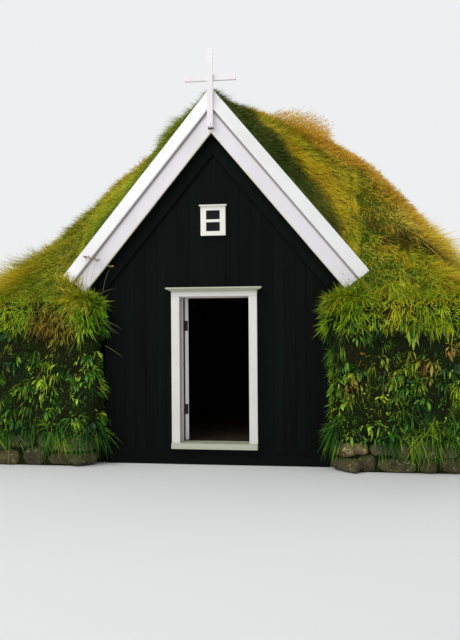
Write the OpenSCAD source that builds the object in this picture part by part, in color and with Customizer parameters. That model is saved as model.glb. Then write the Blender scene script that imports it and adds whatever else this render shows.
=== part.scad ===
// Turf house: a small timber prayer house between thick turf walls, under a turf roof.
// Right is +X, the front faces -Y, and Z is up from the ground. All sizes are in millimetres.

/* [House] */
// Width over the turf side walls, at the foot
house_w = 6200; // [5600:50:6800]
// Length from the foot of the front to the foot of the rear
house_l = 5100; // [4900:50:6200]
// Clear width of the room between its linings
room_w = 2276; // [2100:10:2400]
// Length of the timber shell from its front face to its rear face
timber_l = 3700; // [3300:50:4200]
// How far the timber front stands behind the foot of the turf walls
front_setback = 300; // [220:10:420]
// Rise of the roof for each unit of run
roof_rise = 1.2; // [1.1:0.02:1.3]
// Height of the apex of the bargeboards' lower edges
gable_apex = 3654; // [3500:10:3800]

/* [Turf walls] */
// Height of the stone footing
footing_h = 320; // [200:10:400]
// How far the footing stands out from the turf
footing_step = 40; // [20:5:80]
// Height of the side walls' level top
wall_top = 1778; // [1700:10:1800]
// Height of the rear wall's turf against the timber gable
rear_wall_top = 1860; // [1820:10:1870]
// Height of the turf on the lobes beside the timber front, over the wall's level top
lobe_bank = 130; // [40:5:140]
// Inward lean of each turf face for each unit of height
batter = 0.08; // [0.04:0.01:0.1]
// Radius of the outer corners in plan
corner_r = 420; // [250:10:550]
// Clear width between the growth on the two turf walls in front of the timber front
lobe_gap = 2380; // [2250:10:2500]
// Radius of the corners of the turf beside the timber front
lobe_r = 130; // [80:5:160]
// Depth of the grass and leaves that cover the turf's faces
growth_t = 60; // [40:5:70]
// Depth of the long growth that hangs over the walls' top edge
growth_lip = 105; // [60:5:115]
// Height of the humps and hollows of the walls' faces
growth_hump = 30; // [0:2:34]

/* [Roof turf] */
// Height of the turf's ridge at mid-length
ridge_top = 4140; // [4100:10:4420]
// How full the left slope's turf swells: 1 is a straight slope
turf_fullness_left = 1.3; // [1.1:0.1:2]
// How full the right slope's turf swells
turf_fullness_right = 2; // [1.4:0.1:2.6]
// Depth of the soft hollows and humps of the turf
turf_swell = 26; // [0:2:40]
// Distance behind the bargeboards at which the turf reaches its full height
turf_rise_l = 1250; // [1000:50:1700]
// How far the roof stands out in front of the timber walls
verge_out = 90; // [60:5:120]
// How far the turf lies below the top of the weather boards
verge_drop = 16; // [5:1:40]

/* [Timber frame] */
// Height of the sill beams
sill_h = 178; // [140:2:200]
// Width of the side, front and rear sill beams
sill_w = 150; // [130:5:180]
// Side of the square posts
post = 100; // [80:5:120]
// Thickness of the rafters along the house
rafter_t = 80; // [60:5:100]
// Depth of the rafters, square to the slope
rafter_d = 100; // [80:5:120]
// Number of rafter pairs
rafter_pairs = 5; // [4:1:7]
// Thickness of the roof boards
roof_board_t = 25; // [20:1:30]
// Thickness of the room's lining boards
lining_t = 22; // [16:1:28]
// Depth of the collar ties
collar_d = 90; // [70:5:120]
// Thickness of the collar ties
collar_t = 30; // [25:1:40]
// Height of the underside of the collar ties
collar_z = 2780; // [2650:10:2900]
// Thickness of the floor boards
floor_t = 32; // [25:1:40]

/* [Gables] */
// Thickness of the tarred wall boards
cladding_t = 28; // [22:1:34]
// Width of the frieze boards that shows under the bargeboards
frieze_show = 140; // [100:5:180]
// Thickness of the frieze boards
frieze_t = 28; // [22:1:34]
// Width of the bargeboards
barge_w = 225; // [200:5:250]
// Thickness of the bargeboards
barge_t = 30; // [24:1:36]
// Height of the bargeboards' feet over the walls' level top
barge_foot = 140; // [125:5:260]
// Width of the slanted weather boards
weather_w = 140; // [120:5:160]
// Thickness of the weather boards
weather_t = 26; // [20:1:30]
// Slant of the weather boards, whose upper edges lean back
weather_tilt = 15; // [8:1:17]
// Width of bargeboard that the weather boards lap over
weather_lap = 45; // [30:5:70]

/* [Cross] */
// Width of the cross's post and arm
cross_w = 63; // [50:1:80]
// Thickness of the cross's post
cross_post_t = 60; // [54:1:80]
// Thickness of the cross's arm
cross_arm_t = 30; // [20:1:40]
// Length of the cross's arm
cross_arm_l = 570; // [450:10:700]
// Length of the cross's post
cross_h = 854; // [700:2:1000]
// Distance from the top of the cross to the middle of its arm
cross_arm_drop = 315; // [240:5:380]
// Height of the post's foot over the apex of the gable
cross_foot = 52; // [40:2:80]

/* [Door] */
// Clear width of the doorway
door_w = 778; // [700:2:840]
// Clear height of the doorway
door_h = 1625; // [1550:5:1640]
// Thickness of the threshold
threshold_t = 62; // [50:1:70]
// How far the threshold stands out from the wall
threshold_out = 36; // [20:1:50]
// Width of the casings beside the doorway
casing_w = 92; // [70:1:110]
// Thickness of the casings
casing_t = 28; // [20:1:36]
// Thickness of the jambs
jamb_t = 28; // [22:1:36]
// Depth of the jambs from the wall's face
jamb_depth = 180; // [160:2:200]
// Height of the plain head casing
head_casing_h = 52; // [40:1:70]
// Height of the crown moulding
crown_h = 50; // [40:1:60]
// How far the crown moulding stands out to each side and to the front
crown_out = 55; // [40:1:70]
// Height of the lower hinge's middle over the threshold
lower_hinge = 354; // [250:2:450]
// Height of the upper hinge's middle over the threshold
upper_hinge = 1300; // [1150:10:1400]
// Height of the lock rail's lower edge over the leaf's foot
lock_rail = 700; // [600:10:800]
// Thickness of the door leaf
leaf_t = 40; // [34:1:44]
// Gap around the closed leaf
leaf_gap = 5; // [5:0.5:6]
// Gap at the closed leaf's free edge, which has to swing past the jamb
lock_gap = 8; // [8:0.5:10]
// Angle by which the leaf stands open
open_angle = 112; // [100:1:118]
// Width of the leaf's stiles and rails
stile_w = 105; // [90:1:120]
// Thickness of the leaf's panels
panel_t = 16; // [12:1:20]
// Height of each hinge
hinge_h = 115; // [90:1:130]
// Radius of the hinge knuckles
knuckle_r = 8; // [7:0.5:9]
// Radius of the hinge pins
pin_r = 4; // [3:0.5:5]

/* [Window] */
// Width over the window frame
window_w = 278; // [240:2:320]
// Height over the window frame
window_h = 326; // [280:2:360]
// Height of the middle of the window
window_z = 2700; // [2650:5:2760]
// Width of the window's stiles
window_stile = 62; // [50:1:66]
// Height of the window's rails
window_rail = 48; // [40:1:56]
// Height of the glazing bar
glazing_bar = 30; // [24:1:36]
// How far the frame stands out from the wall
window_out = 34; // [20:1:50]
// Thickness of the glass
glass_t = 4; // [3:0.5:6]
// Thickness of the drip cap over the window
window_cap_t = 22; // [16:1:28]

/* [Hidden] */
$fn = 48;

TAR = "#141a19";
WHITE = "#ece9e6";
TURF = "#55701f";
EARTH = "#4a3d28";
STONE = "#6f6b62";
OLD_WOOD = "#7a6248";
IRON = "#2c2723";

seam = 0.5;    // between solids of one node that would otherwise touch
bed = 0.3;     // between slanted pieces that lie on each other
bank_play = 4; // between the friezes' feet and the turf under them
front_y = -house_l / 2 + front_setback;    // face of the timber front
rear_y = front_y + timber_l;               // face of the timber rear
inner_front_y = front_y + cladding_t;
inner_rear_y = rear_y - cladding_t;
pitch = atan(roof_rise);

// Distances square to the slope, counted from the bargeboards' lower edge
rafter_n = 25;
frieze_lap = 35;      // width of the friezes behind the bargeboards, above the rafters' undersides
frieze_short = 60;    // how much shorter the friezes are than the bargeboards
board_n = rafter_n + rafter_d + bed;
turf_n = board_n + roof_board_t + bed;
barge_l = (gable_apex - wall_top - barge_foot) / sin(pitch);    // along their lower edges
weather_n = barge_w - weather_lap;
weather_top_n = weather_n + weather_w * cos(weather_tilt) + weather_t * sin(weather_tilt);

// The timber shell in plan
lining_x = room_w / 2;
post_x = lining_x + lining_t;
shell_x = post_x + post;
turf_x = shell_x + 10;
rafter_short = 15;    // how much shorter the rafters are than the bargeboards
board_short = 5;      // how much shorter the roof boards are
rafter_l = barge_l - rafter_short;
board_l = barge_l - board_short;
gable_x = slope_point(rafter_l, board_n - bed)[0];    // half the width of the gables at the eaves
eave_x = slope_point(board_l, turf_n)[0];
floor_z = sill_h + floor_t;

// The doorway
threshold_top = sill_h + threshold_t;
door_top = threshold_top + door_h;
jamb_x = door_w / 2;
jamb_out_x = jamb_x + jamb_t;
casing_x = jamb_x + casing_w;
jamb_top = door_top + jamb_t;
stop_t = 14;
stop_w = 28;
jamb_end_y = front_y + jamb_depth;
leaf_y = jamb_end_y - leaf_t - leaf_gap;    // front face of the closed leaf
leaf_x0 = -jamb_x + leaf_gap;
leaf_x1 = jamb_x - lock_gap;
leaf_z0 = threshold_top + leaf_gap;
leaf_z1 = door_top - leaf_gap;
pin_x = -jamb_x + leaf_gap / 2;
pin_y = jamb_end_y + knuckle_r + 2;
plate_t = 2;
pin_play = 0.06;
hinge_zs = [threshold_top + lower_hinge, threshold_top + upper_hinge];

// The gable's trim
verge_front_y = front_y - verge_out;
verge_rear_y = rear_y + verge_out;
barge_front_y = verge_front_y - barge_t;
cross_front_y = barge_front_y - cross_post_t;
cross_top = gable_apex + cross_foot + cross_h;
cross_arm_z = cross_top - cross_arm_drop;

// The turf's level top
wall_lean = batter * (wall_top - footing_h);
foot_x = house_w / 2;
foot_y = house_l / 2;
turf_foot_x = foot_x - footing_step;
turf_foot_y = foot_y - footing_step;
berm_x = turf_foot_x - wall_lean;
berm_y = turf_foot_y - wall_lean;
lobe_x = lobe_gap / 2;
lobe_turf_x = lobe_x + growth_lip;    // turf's face behind the growth
edge_turf = 26;    // thickness of the turf where it ends on the wall top

// A point given along the slope from the lower apex, and square to the slope
function slope_point(s, n) =
    [s * cos(pitch) + n * sin(pitch), gable_apex - s * sin(pitch) + n * cos(pitch)];
// Height over x of the line that lies n above the bargeboards' lower edge
function slope_z(x, n) = gable_apex + n / cos(pitch) - roof_rise * x;

function mix(a, b, t) = a + (b - a) * t;
function clamp01(t) = min(1, max(0, t));
function smooth(t) = let (u = clamp01(t)) u * u * (3 - 2 * u);
function steps(a, b, n) = [for (k = [0 : n]) mix(a, b, k / n)];

// Extrudes a shape drawn in X and Z along the house
module along_y(y0, y1) {
    translate([0, y1, 0]) rotate([90, 0, 0]) linear_extrude(y1 - y0) children();
}

// Extrudes a shape drawn in Y and Z across the house
module along_x(x0, x1) {
    translate([x0, 0, 0]) rotate([90, 0, 90]) linear_extrude(x1 - x0) children();
}

// Extrudes a shape drawn in minus n and Y down the right slope
module down_slope(s0, s1) {
    translate([0, 0, gable_apex]) rotate([0, 90 + pitch, 0])
        translate([0, 0, s0]) linear_extrude(s1 - s0) children();
}

module block(x0, x1, y0, y1, z0, z1) {
    translate([x0, y0, z0]) cube([x1 - x0, y1 - y0, z1 - z0]);
}

module left_side() {
    mirror([1, 0, 0]) children();
}

module both_sides() {
    children();
    left_side() children();
}

// Turns a piece of the front gable round to the rear one
module at_rear() {
    translate([0, front_y + rear_y, 0]) mirror([0, 1, 0]) children();
}

// A band of the right roof slope between two distances square to it
module slope_band(n0, n1, length) {
    polygon([
        [0, slope_z(0, n0)], slope_point(length, n0),
        slope_point(length, n1), [0, slope_z(0, n1)]
    ]);
}

// Outer edge of the wall top, which turns round the corners
function edge_x(y) =
    let (d = max(0, abs(y) - berm_y + corner_r))
    berm_x - corner_r + sqrt(max(0, corner_r * corner_r - d * d));

// Height of the turf at mid-length: steep at the wall's edge and round at the ridge
function full_turf_z(x, y, fullness) =
    mix(ridge_top, wall_top + edge_turf, pow(clamp01(x / edge_x(y)), fullness));

// Height of the turf just behind the bargeboards, which it follows down to their feet
verge_n = weather_top_n - verge_drop;
thinning_w = 300;      // width over which the turf thins towards the eaves
eaves_depth = 70;      // depth of the turf at the eaves, over the roof boards
foot_cover = 30;       // depth of turf over the level of the bargeboards' feet
low_x = eave_x - thinning_w;
foot_turf_z = slope_point(barge_l, 0)[1] + foot_cover;
function verge_turf_z(x, y) =
    x < low_x ? slope_z(x, verge_n)
    : x < eave_x ? mix(slope_z(low_x, verge_n), slope_z(eave_x, turf_n) + eaves_depth,
                       (x - low_x) / (eave_x - low_x))
    : mix(foot_turf_z, wall_top + edge_turf, smooth((x - eave_x) / (edge_x(y) - eave_x)));

// Share of the full height that is reached at y: it rises fast, then levels off
function along_share(y) =
    let (t = clamp01(min(y - verge_front_y, verge_rear_y - y) / turf_rise_l))
    1 - (1 - t) * (1 - t);
// Share to which the eaves' turf has come up from the wall's end at y
function end_share(y) =
    smooth(min(y + berm_y, berm_y - y) / (berm_y + verge_front_y));
swell_across = 1900;    // length of the swell's waves down the slope
swell_along = 2250;     // length of the swell's waves along the house
swell_edge = 300;       // width over which the swell fades out at the wall's edge
function swell(x, y) =
    turf_swell * sin(360 * (x / swell_across + y / (4 * swell_across)))
    * sin(360 * (y / swell_along + x / (4 * swell_along)) + 40);
function turf_z(x, y, fullness) =
    let (
        a = along_share(y),
        inside = mix(verge_turf_z(x, y), full_turf_z(x, y, fullness), a)
            + a * swell(x, y) * clamp01((edge_x(y) - x) / swell_edge),
        e = x < eave_x ? 1 : end_share(y)
    )
    mix(wall_top + edge_turf, inside, e);

// A closed solid between a floor and the turf's surface. Its grid runs along y, and across from
// the inner to the outer edge at each y
module turf_solid(columns, ys, inner_x, outer_x, floor_z, fullness) {
    nx = columns + 1;
    ny = len(ys);
    n = nx * ny;
    function at(i, j) = j * nx + i;
    function quad(a, b, c, d) = [[a, b, c], [a, c, d]];
    low = [for (y = ys) for (x = steps(inner_x, outer_x(y), columns)) [x, y, floor_z(x)]];
    high = [for (p = low) [p[0], p[1], max(turf_z(p[0], p[1], fullness), p[2] + edge_turf)]];
    ends = concat(
        [for (i = [0 : nx - 2]) each quad(at(i, 0), at(i, 0) + n, at(i + 1, 0) + n, at(i + 1, 0))],
        [for (i = [0 : nx - 2]) each
            quad(at(i + 1, ny - 1), at(i + 1, ny - 1) + n, at(i, ny - 1) + n, at(i, ny - 1))],
        [for (j = [0 : ny - 2]) each quad(at(0, j + 1), at(0, j + 1) + n, at(0, j) + n, at(0, j))],
        [for (j = [0 : ny - 2]) each
            quad(at(nx - 1, j), at(nx - 1, j) + n, at(nx - 1, j + 1) + n, at(nx - 1, j + 1))]
    );
    faces = [for (j = [0 : ny - 2]) for (i = [0 : nx - 2]) each concat(
        quad(at(i, j) + n, at(i, j + 1) + n, at(i + 1, j + 1) + n, at(i + 1, j) + n),
        quad(at(i, j), at(i + 1, j), at(i + 1, j + 1), at(i, j + 1))
    )];
    polyhedron(concat(low, high), concat(faces, ends), convexity = 6);
}

module turf_roof(fullness) {
    color(TURF) turf_solid(12,
        concat(steps(verge_front_y, verge_front_y + turf_rise_l, 8),
               [for (k = [1 : 2]) mix(verge_front_y + turf_rise_l,
                                      verge_rear_y - turf_rise_l, k / 3)],
               steps(verge_rear_y - turf_rise_l, verge_rear_y, 8)),
        0, function (y) eave_x, function (x) slope_z(x, turf_n), fullness);
}

module eaves_turf(fullness) {
    color(TURF) turf_solid(9,
        concat(steps(-berm_y, verge_front_y, 3),
               [for (k = [1 : 7]) mix(verge_front_y, verge_front_y + turf_rise_l, k / 8)],
               steps(verge_front_y + turf_rise_l, verge_rear_y - turf_rise_l, 3),
               [for (k = [1 : 7]) mix(verge_rear_y - turf_rise_l, verge_rear_y, k / 8)],
               steps(verge_rear_y, berm_y, 6)),
        eave_x, function (y) edge_x(y), function (x) wall_top, fullness);
}

// Points of a path as [x, y, outward normal's x and y], on an arc and between two places
function arc_path(cx, cy, r, from, to, n) =
    [for (a = steps(from, to, n)) [cx + r * cos(a), cy + r * sin(a), cos(a), sin(a)]];
function straight_path(a, b, normal, n) =
    [for (k = [1 : n - 1]) concat(mix(a, b, k / n), normal)];

// Outer foot of the right wall, from its face beside the timber front round to the rear
lobe_foot_x = lobe_turf_x + footing_step;
lobe_c = [lobe_foot_x + lobe_r, lobe_r - foot_y];    // centres of the rounded corners
front_c = [foot_x - corner_r, corner_r - foot_y];
rear_c = [front_c[0], -front_c[1]];
wall_path = concat(
    [[lobe_foot_x, front_y, -1, 0]],
    straight_path([lobe_foot_x, front_y], [lobe_foot_x, lobe_c[1]], [-1, 0], 2),
    arc_path(lobe_c[0], lobe_c[1], lobe_r, 180, 270, 5),
    straight_path([lobe_c[0], -foot_y], [front_c[0], -foot_y], [0, -1], 7),
    arc_path(front_c[0], front_c[1], corner_r, -90, 0, 5),
    straight_path([foot_x, front_c[1]], [foot_x, rear_c[1]], [1, 0], 24),
    arc_path(rear_c[0], rear_c[1], corner_r, 0, 90, 5),
    straight_path([rear_c[0], foot_y], [turf_x, foot_y], [0, 1], 8),
    [[turf_x, foot_y, 0, 1]]
);

// Depth of the growth at shares of the turf wall's height: thin at the foot, hollow under the
// lip, and gone at the level top
growth_depths = [
    [0, 0.4 * growth_t], [0.15, 0.6 * growth_t], [0.45, growth_t], [0.68, 0.75 * growth_t],
    [0.83, growth_lip], [0.94, 0.8 * growth_lip], [1, 0]
];
face_levels = [0, 0.08, 0.15, 0.3, 0.45, 0.57, 0.68, 0.76, 0.83, 0.89, 0.94, 1];

// Humps of the side walls' faces, which fade at the foot and at the level top
hump_along = 1060;    // length of the humps' waves along the walls
hump_up = 900;        // and up them
function hump(x, y, z, t) =
    growth_hump * sin(180 * t) * sin(360 * ((x + y) / hump_along + z / (2 * hump_up)))
    * sin(360 * (z / hump_up + (x - y) / (3 * hump_along)));

// A point of a side wall's face over a point of its foot. The face leans in by the batter, but
// beside the timber front it stands upright, out over the footing. At the rear it has no humps
function face_z(t) = mix(footing_h, wall_top, t);
function face_out(t) = lookup(t, growth_depths) - footing_step - wall_lean * t;
function face_point(p, t) =
    let (
        upright = (2 * footing_step + wall_lean * t) * max(0, -p[2]),
        humps = hump(p[0], p[1], face_z(t), t) * (1 - max(0, p[3])),
        out = face_out(t) + upright + humps
    )
    [p[0] + p[2] * out, p[1] + p[3] * out, face_z(t)];

// A closed solid through the rings that a path's face makes with its inner corners
module grown_wall(path, inner_corners) {
    rings = [for (t = face_levels) concat(
        [for (p = path) face_point(p, t)],
        [for (c = inner_corners) [c[0], c[1], face_z(t)]]
    )];
    m = len(rings[0]);
    last = len(rings) - 1;
    polyhedron(
        [for (ring = rings) each ring],
        concat(
            [[for (k = [0 : m - 1]) k], [for (k = [m - 1 : -1 : 0]) last * m + k]],
            [for (l = [0 : last - 1]) for (k = [0 : m - 1])
                let (a = l * m + k, b = l * m + (k + 1) % m) each [[a, a + m, b + m], [a, b + m, b]]]
        ),
        convexity = 6
    );
}

module stone_footing() {
    color(STONE) {
        both_sides() linear_extrude(footing_h)
            polygon(concat([for (p = wall_path) [p[0], p[1]]], [[turf_x, front_y]]));
        block(-turf_x + seam, turf_x - seam, rear_y, foot_y, 0, footing_h);
    }
}

module turf_wall() {
    color(EARTH) {
        grown_wall(wall_path, [[turf_x, front_y]]);
        along_y(inner_front_y, inner_rear_y)
            polygon([
                [turf_x, bank_z], [turf_x, slope_z(turf_x, rafter_n - bed)],
                [eave_x, slope_z(eave_x, rafter_n - bed)], [eave_x, bank_z]
            ]);
        along_x(lobe_turf_x, eave_x) bank_profile(front_y, -berm_y, lobe_bank);
    }
}

// Turf on a wall's level top, which falls in a quarter round from a gable to the wall's edge
bank_z = wall_top + seam;
module bank_profile(gable_y, edge_y, rise) {
    polygon(concat(
        [[edge_y, bank_z], [gable_y, bank_z]],
        [for (a = steps(0, 90, 6))
            [mix(gable_y, edge_y, sin(a)), wall_top + mix(edge_turf, rise, cos(a))]]
    ));
}

module turf_wall_rear() {
    color(EARTH) {
        along_x(-turf_x, turf_x) polygon(concat(
            [[rear_y, wall_top], [rear_y, footing_h]],
            [for (d = growth_depths) [foot_y + face_out(d[0]), face_z(d[0])]]
        ));
        along_x(-eave_x, eave_x) bank_profile(rear_y, berm_y, rear_wall_top - wall_top);
    }
}

module sill_beams() {
    color(OLD_WOOD) {
        block(-shell_x, shell_x, front_y, front_y + sill_w, 0, sill_h);
        block(-shell_x, shell_x, rear_y - sill_w, rear_y, 0, sill_h);
        both_sides() block(shell_x - sill_w, shell_x,
            front_y + sill_w + seam, rear_y - sill_w - seam, 0, sill_h);
    }
}

plate_h = 100;                                 // height of the wall plates' outer faces
plate_z = slope_z(shell_x, rafter_n) - plate_h;
rail_z = jamb_top;                             // underside of the gables' rails
rail_h = 110;
corner_y = [inner_front_y, inner_rear_y - post];    // near faces of the corner posts

module wall_posts() {
    color(OLD_WOOD) {
        both_sides() for (y = steps(corner_y[0], corner_y[1], 3))
            block(post_x, shell_x, y, y + post, sill_h, plate_z);
        both_sides() block(jamb_out_x, jamb_out_x + post, inner_front_y, inner_front_y + post,
            sill_h, rail_z);
    }
}

module gable_rails() {
    color(OLD_WOOD) for (y = corner_y)
        block(-post_x, post_x, y, y + post, rail_z, rail_z + rail_h);
}

module wall_plate() {
    color(OLD_WOOD) along_y(inner_front_y, inner_rear_y)
        polygon([
            [post_x, plate_z], [shell_x, plate_z],
            [shell_x, slope_z(shell_x, rafter_n - bed)], [post_x, slope_z(post_x, rafter_n - bed)]
        ]);
}

rafter_ys = steps(inner_front_y, inner_rear_y - rafter_t, rafter_pairs - 1);

module rafters() {
    color(OLD_WOOD) for (y = rafter_ys)
        along_y(y, y + rafter_t) both_sides()
            slope_band(rafter_n, board_n - bed, rafter_l);
}

// Each tie is nailed to the side of its rafters that looks to the middle of the house
module collar_ties() {
    half = function (z) (slope_z(0, board_n - 10) - z) / roof_rise;
    color(OLD_WOOD) for (y = rafter_ys) {
        y0 = y < (front_y + rear_y) / 2 - rafter_t ? y + rafter_t : y - collar_t;
        along_y(y0, y0 + collar_t)
            polygon([
                [-half(collar_z), collar_z], [half(collar_z), collar_z],
                [half(collar_z + collar_d), collar_z + collar_d],
                [-half(collar_z + collar_d), collar_z + collar_d]
            ]);
    }
}

module roof_boards() {
    color(OLD_WOOD) along_y(verge_front_y, verge_rear_y)
        slope_band(board_n, turf_n - bed, board_l);
}

module lining() {
    color(OLD_WOOD) block(lining_x, post_x, corner_y[0] + post, corner_y[1],
        floor_z, slope_z(post_x, rafter_n - bed));
}

joist_w = 80;
joist_h = 100;

module floor_joists() {
    color(OLD_WOOD) for (y = steps(front_y + 2 * sill_w, rear_y - 3 * sill_w, 5))
        block(sill_w - shell_x, shell_x - sill_w, y, y + joist_w, sill_h - joist_h, sill_h);
}

module floor_boards() {
    color(OLD_WOOD) difference() {
        block(-post_x, post_x, inner_front_y, inner_rear_y, sill_h, floor_z);
        both_sides() block(jamb_out_x - 1, jamb_out_x + post + 1, front_y,
            inner_front_y + post + 1, 0, floor_z + 1);
        block(-jamb_out_x, jamb_out_x, front_y, jamb_end_y + 1, 0, floor_z + 1);
    }
}

// The outline under the roof boards, down to a level
module under_roof(z0) {
    polygon([
        [gable_x, z0], [gable_x, slope_z(gable_x, board_n - bed)],
        [0, slope_z(0, board_n - bed)],
        [-gable_x, slope_z(gable_x, board_n - bed)], [-gable_x, z0]
    ]);
}

// Boarding beside the doorway, which steps out over the walls' level top to the eaves
module front_wall() {
    color(TAR) along_y(front_y, inner_front_y) intersection() {
        under_roof(0);
        polygon([
            [jamb_out_x, sill_h], [shell_x, sill_h], [shell_x, wall_top],
            [gable_x, wall_top], [gable_x, jamb_top], [jamb_out_x, jamb_top]
        ]);
    }
}

// Boarding from the head of the doorway up to the roof
module gable_outline() {
    intersection() {
        under_roof(0);
        translate([-gable_x, jamb_top]) square([2 * gable_x, gable_apex]);
    }
}

module front_gable_wall() {
    color(TAR) along_y(front_y, inner_front_y) difference() {
        gable_outline();
        translate([0, window_z]) square([window_w, window_h], center = true);
    }
}

module rear_gable_wall() {
    color(TAR) along_y(inner_rear_y, rear_y) intersection() {
        under_roof(0);
        union() {
            translate([-shell_x, sill_h]) square([2 * shell_x, gable_apex]);
            translate([-gable_x, wall_top]) square([2 * gable_x, gable_apex]);
        }
    }
}

// Frieze boards that end a little above the turf under them
module friezes(turf_top) {
    along_y(front_y - frieze_t, front_y) intersection() {
        both_sides() slope_band(-frieze_show, rafter_n + frieze_lap, barge_l - frieze_short);
        translate([-house_w, turf_top + bank_play]) square([2 * house_w, gable_apex]);
    }
}

module frieze_boards() {
    color(TAR) {
        friezes(wall_top + lobe_bank);
        at_rear() friezes(rear_wall_top);
    }
}

module bargeboard() {
    color(WHITE) along_y(barge_front_y, verge_front_y) slope_band(0, barge_w, barge_l);
}

// The weather board leans back over the bargeboard's upper front edge
module weather_profile() {
    up = [-cos(weather_tilt), sin(weather_tilt)];
    out = [-sin(weather_tilt), -cos(weather_tilt)];
    foot = [-barge_w, barge_front_y] - up * (weather_lap / cos(weather_tilt));
    polygon([
        foot, foot + up * weather_w, foot + up * weather_w + out * weather_t,
        foot + out * weather_t
    ]);
}

module weather_board(inner_x) {
    color(WHITE) difference() {
        down_slope(-2 * weather_top_n, barge_l + 10) weather_profile();
        block(-house_w, inner_x, -house_l, front_y, 0, 2 * cross_top);
    }
}

module rear_bargeboards() {
    at_rear() both_sides() bargeboard();
}

module rear_weather_boards() {
    at_rear() both_sides() weather_board(0);
}

module cross_post() {
    color(WHITE) difference() {
        block(-cross_w / 2, cross_w / 2, cross_front_y, barge_front_y,
            gable_apex + cross_foot, cross_top);
        block(-cross_w, cross_w, barge_front_y - cross_arm_t, barge_front_y + 1,
            cross_arm_z - cross_w / 2, cross_arm_z + cross_w / 2);
    }
}

module cross_arm() {
    color(WHITE) block(-cross_arm_l / 2, cross_arm_l / 2,
        barge_front_y - cross_arm_t, barge_front_y,
        cross_arm_z - cross_w / 2, cross_arm_z + cross_w / 2);
}

module door_casings() {
    color(WHITE) {
        both_sides() block(jamb_x, casing_x, front_y - casing_t, front_y, threshold_top, door_top);
        block(-casing_x, casing_x, front_y - casing_t, front_y, door_top + seam,
            door_top + head_casing_h);
    }
}

crown_foot = 4;      // height of the square fillet at the foot of the crown's flare
crown_rim = 8;       // how far the cap stands out over the flare
crown_cap_h = 14;

// The crown flares from the head casing to a flat cap
module door_crown() {
    z0 = door_top + head_casing_h;
    z1 = z0 + crown_h - crown_cap_h;
    flare = crown_out - crown_rim;
    color(WHITE) {
        hull() {
            block(-casing_x, casing_x, front_y - casing_t, front_y, z0, z0 + crown_foot);
            block(-casing_x - flare, casing_x + flare, front_y - casing_t - flare, front_y,
                z1 - crown_foot, z1);
        }
        block(-casing_x - crown_out, casing_x + crown_out, front_y - casing_t - crown_out,
            front_y, z1, z1 + crown_cap_h);
    }
}

module door_jamb() {
    color(WHITE) {
        block(jamb_x, jamb_out_x, front_y, jamb_end_y, threshold_top, door_top);
        block(jamb_x - stop_t, jamb_x, leaf_y - leaf_gap - stop_w, leaf_y - leaf_gap,
            threshold_top, door_top);
    }
}

module door_head_jamb() {
    color(WHITE) {
        block(-jamb_out_x, jamb_out_x, front_y, jamb_end_y, door_top, jamb_top);
        block(-jamb_x + stop_t, jamb_x - stop_t, leaf_y - leaf_gap - stop_w, leaf_y - leaf_gap,
            door_top - stop_t, door_top);
    }
}

module door_threshold() {
    color(WHITE) {
        block(-casing_x, casing_x, front_y - casing_t - threshold_out, front_y,
            sill_h, threshold_top);
        block(-jamb_out_x, jamb_out_x, front_y - 1, jamb_end_y, sill_h, threshold_top);
    }
}

// Swings the closed leaf to the angle at which it stands open
module swung_open() {
    translate([pin_x, pin_y, 0]) rotate([0, 0, open_angle]) translate([-pin_x, -pin_y, 0])
        children();
}

module knuckle(z0, z1, bore) {
    translate([pin_x, pin_y, z0]) difference() {
        cylinder(r = knuckle_r, h = z1 - z0);
        if (bore > 0) translate([0, 0, -1]) cylinder(r = bore, h = z1 - z0 + 2);
    }
}

// Plates, pins and outer knuckles of the hinges, let into the left jamb
module jamb_hinges() {
    third = hinge_h / 3;
    color(IRON) for (z = hinge_zs) {
        z0 = z - hinge_h / 2;
        block(-jamb_x, -jamb_x + plate_t, leaf_y + 6, pin_y, z0, z0 + third - 1);
        block(-jamb_x, -jamb_x + plate_t, leaf_y + 6, pin_y, z0 + 2 * third + 1, z0 + hinge_h);
        block(-jamb_x, -jamb_x + plate_t - 0.5, leaf_y + 6, pin_y - knuckle_r - 2, z0, z0 + hinge_h);
        knuckle(z0, z0 + third - 1, 0);
        knuckle(z0 + 2 * third + 1, z0 + hinge_h, 0);
        translate([pin_x, pin_y, z0]) cylinder(r = pin_r, h = hinge_h);
    }
}

// Plates and middle knuckles of the hinges, on the edge of the leaf
module leaf_hinges() {
    third = hinge_h / 3;
    color(IRON) swung_open() for (z = hinge_zs) {
        z0 = z - hinge_h / 2;
        difference() {
            block(leaf_x0 - plate_t + 0.5, leaf_x0, leaf_y + 6, pin_y, z0 + third, z0 + 2 * third);
            translate([pin_x, pin_y, z0]) cylinder(r = knuckle_r - 1, h = hinge_h);
        }
        block(leaf_x0 - plate_t + 0.5, leaf_x0, leaf_y + 6, leaf_y + leaf_t, z0, z0 + hinge_h);
        knuckle(z0 + third, z0 + 2 * third, pin_r + pin_play);
    }
}

// Heights of the leaf's rails: bottom, lock and top
rail_zs = [leaf_z0, leaf_z0 + lock_rail, leaf_z1 - stile_w];

module panel_holes() {
    mid = (leaf_x0 + leaf_x1) / 2;
    for (k = [0, 1]) for (side = [-1, 1]) {
        x0 = side < 0 ? leaf_x0 + stile_w : mid + stile_w / 2;
        x1 = side < 0 ? mid - stile_w / 2 : leaf_x1 - stile_w;
        z0 = rail_zs[k] + stile_w;
        translate([x0, z0]) square([x1 - x0, rail_zs[k + 1] - z0]);
    }
}

module door_leaf() {
    color(WHITE) swung_open() along_y(leaf_y, leaf_y + leaf_t) difference() {
        translate([leaf_x0, leaf_z0]) square([leaf_x1 - leaf_x0, leaf_z1 - leaf_z0]);
        panel_holes();
    }
}

module door_panels() {
    y0 = leaf_y + (leaf_t - panel_t) / 2;
    color(WHITE) swung_open() along_y(y0, y0 + panel_t) panel_holes();
}

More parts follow.
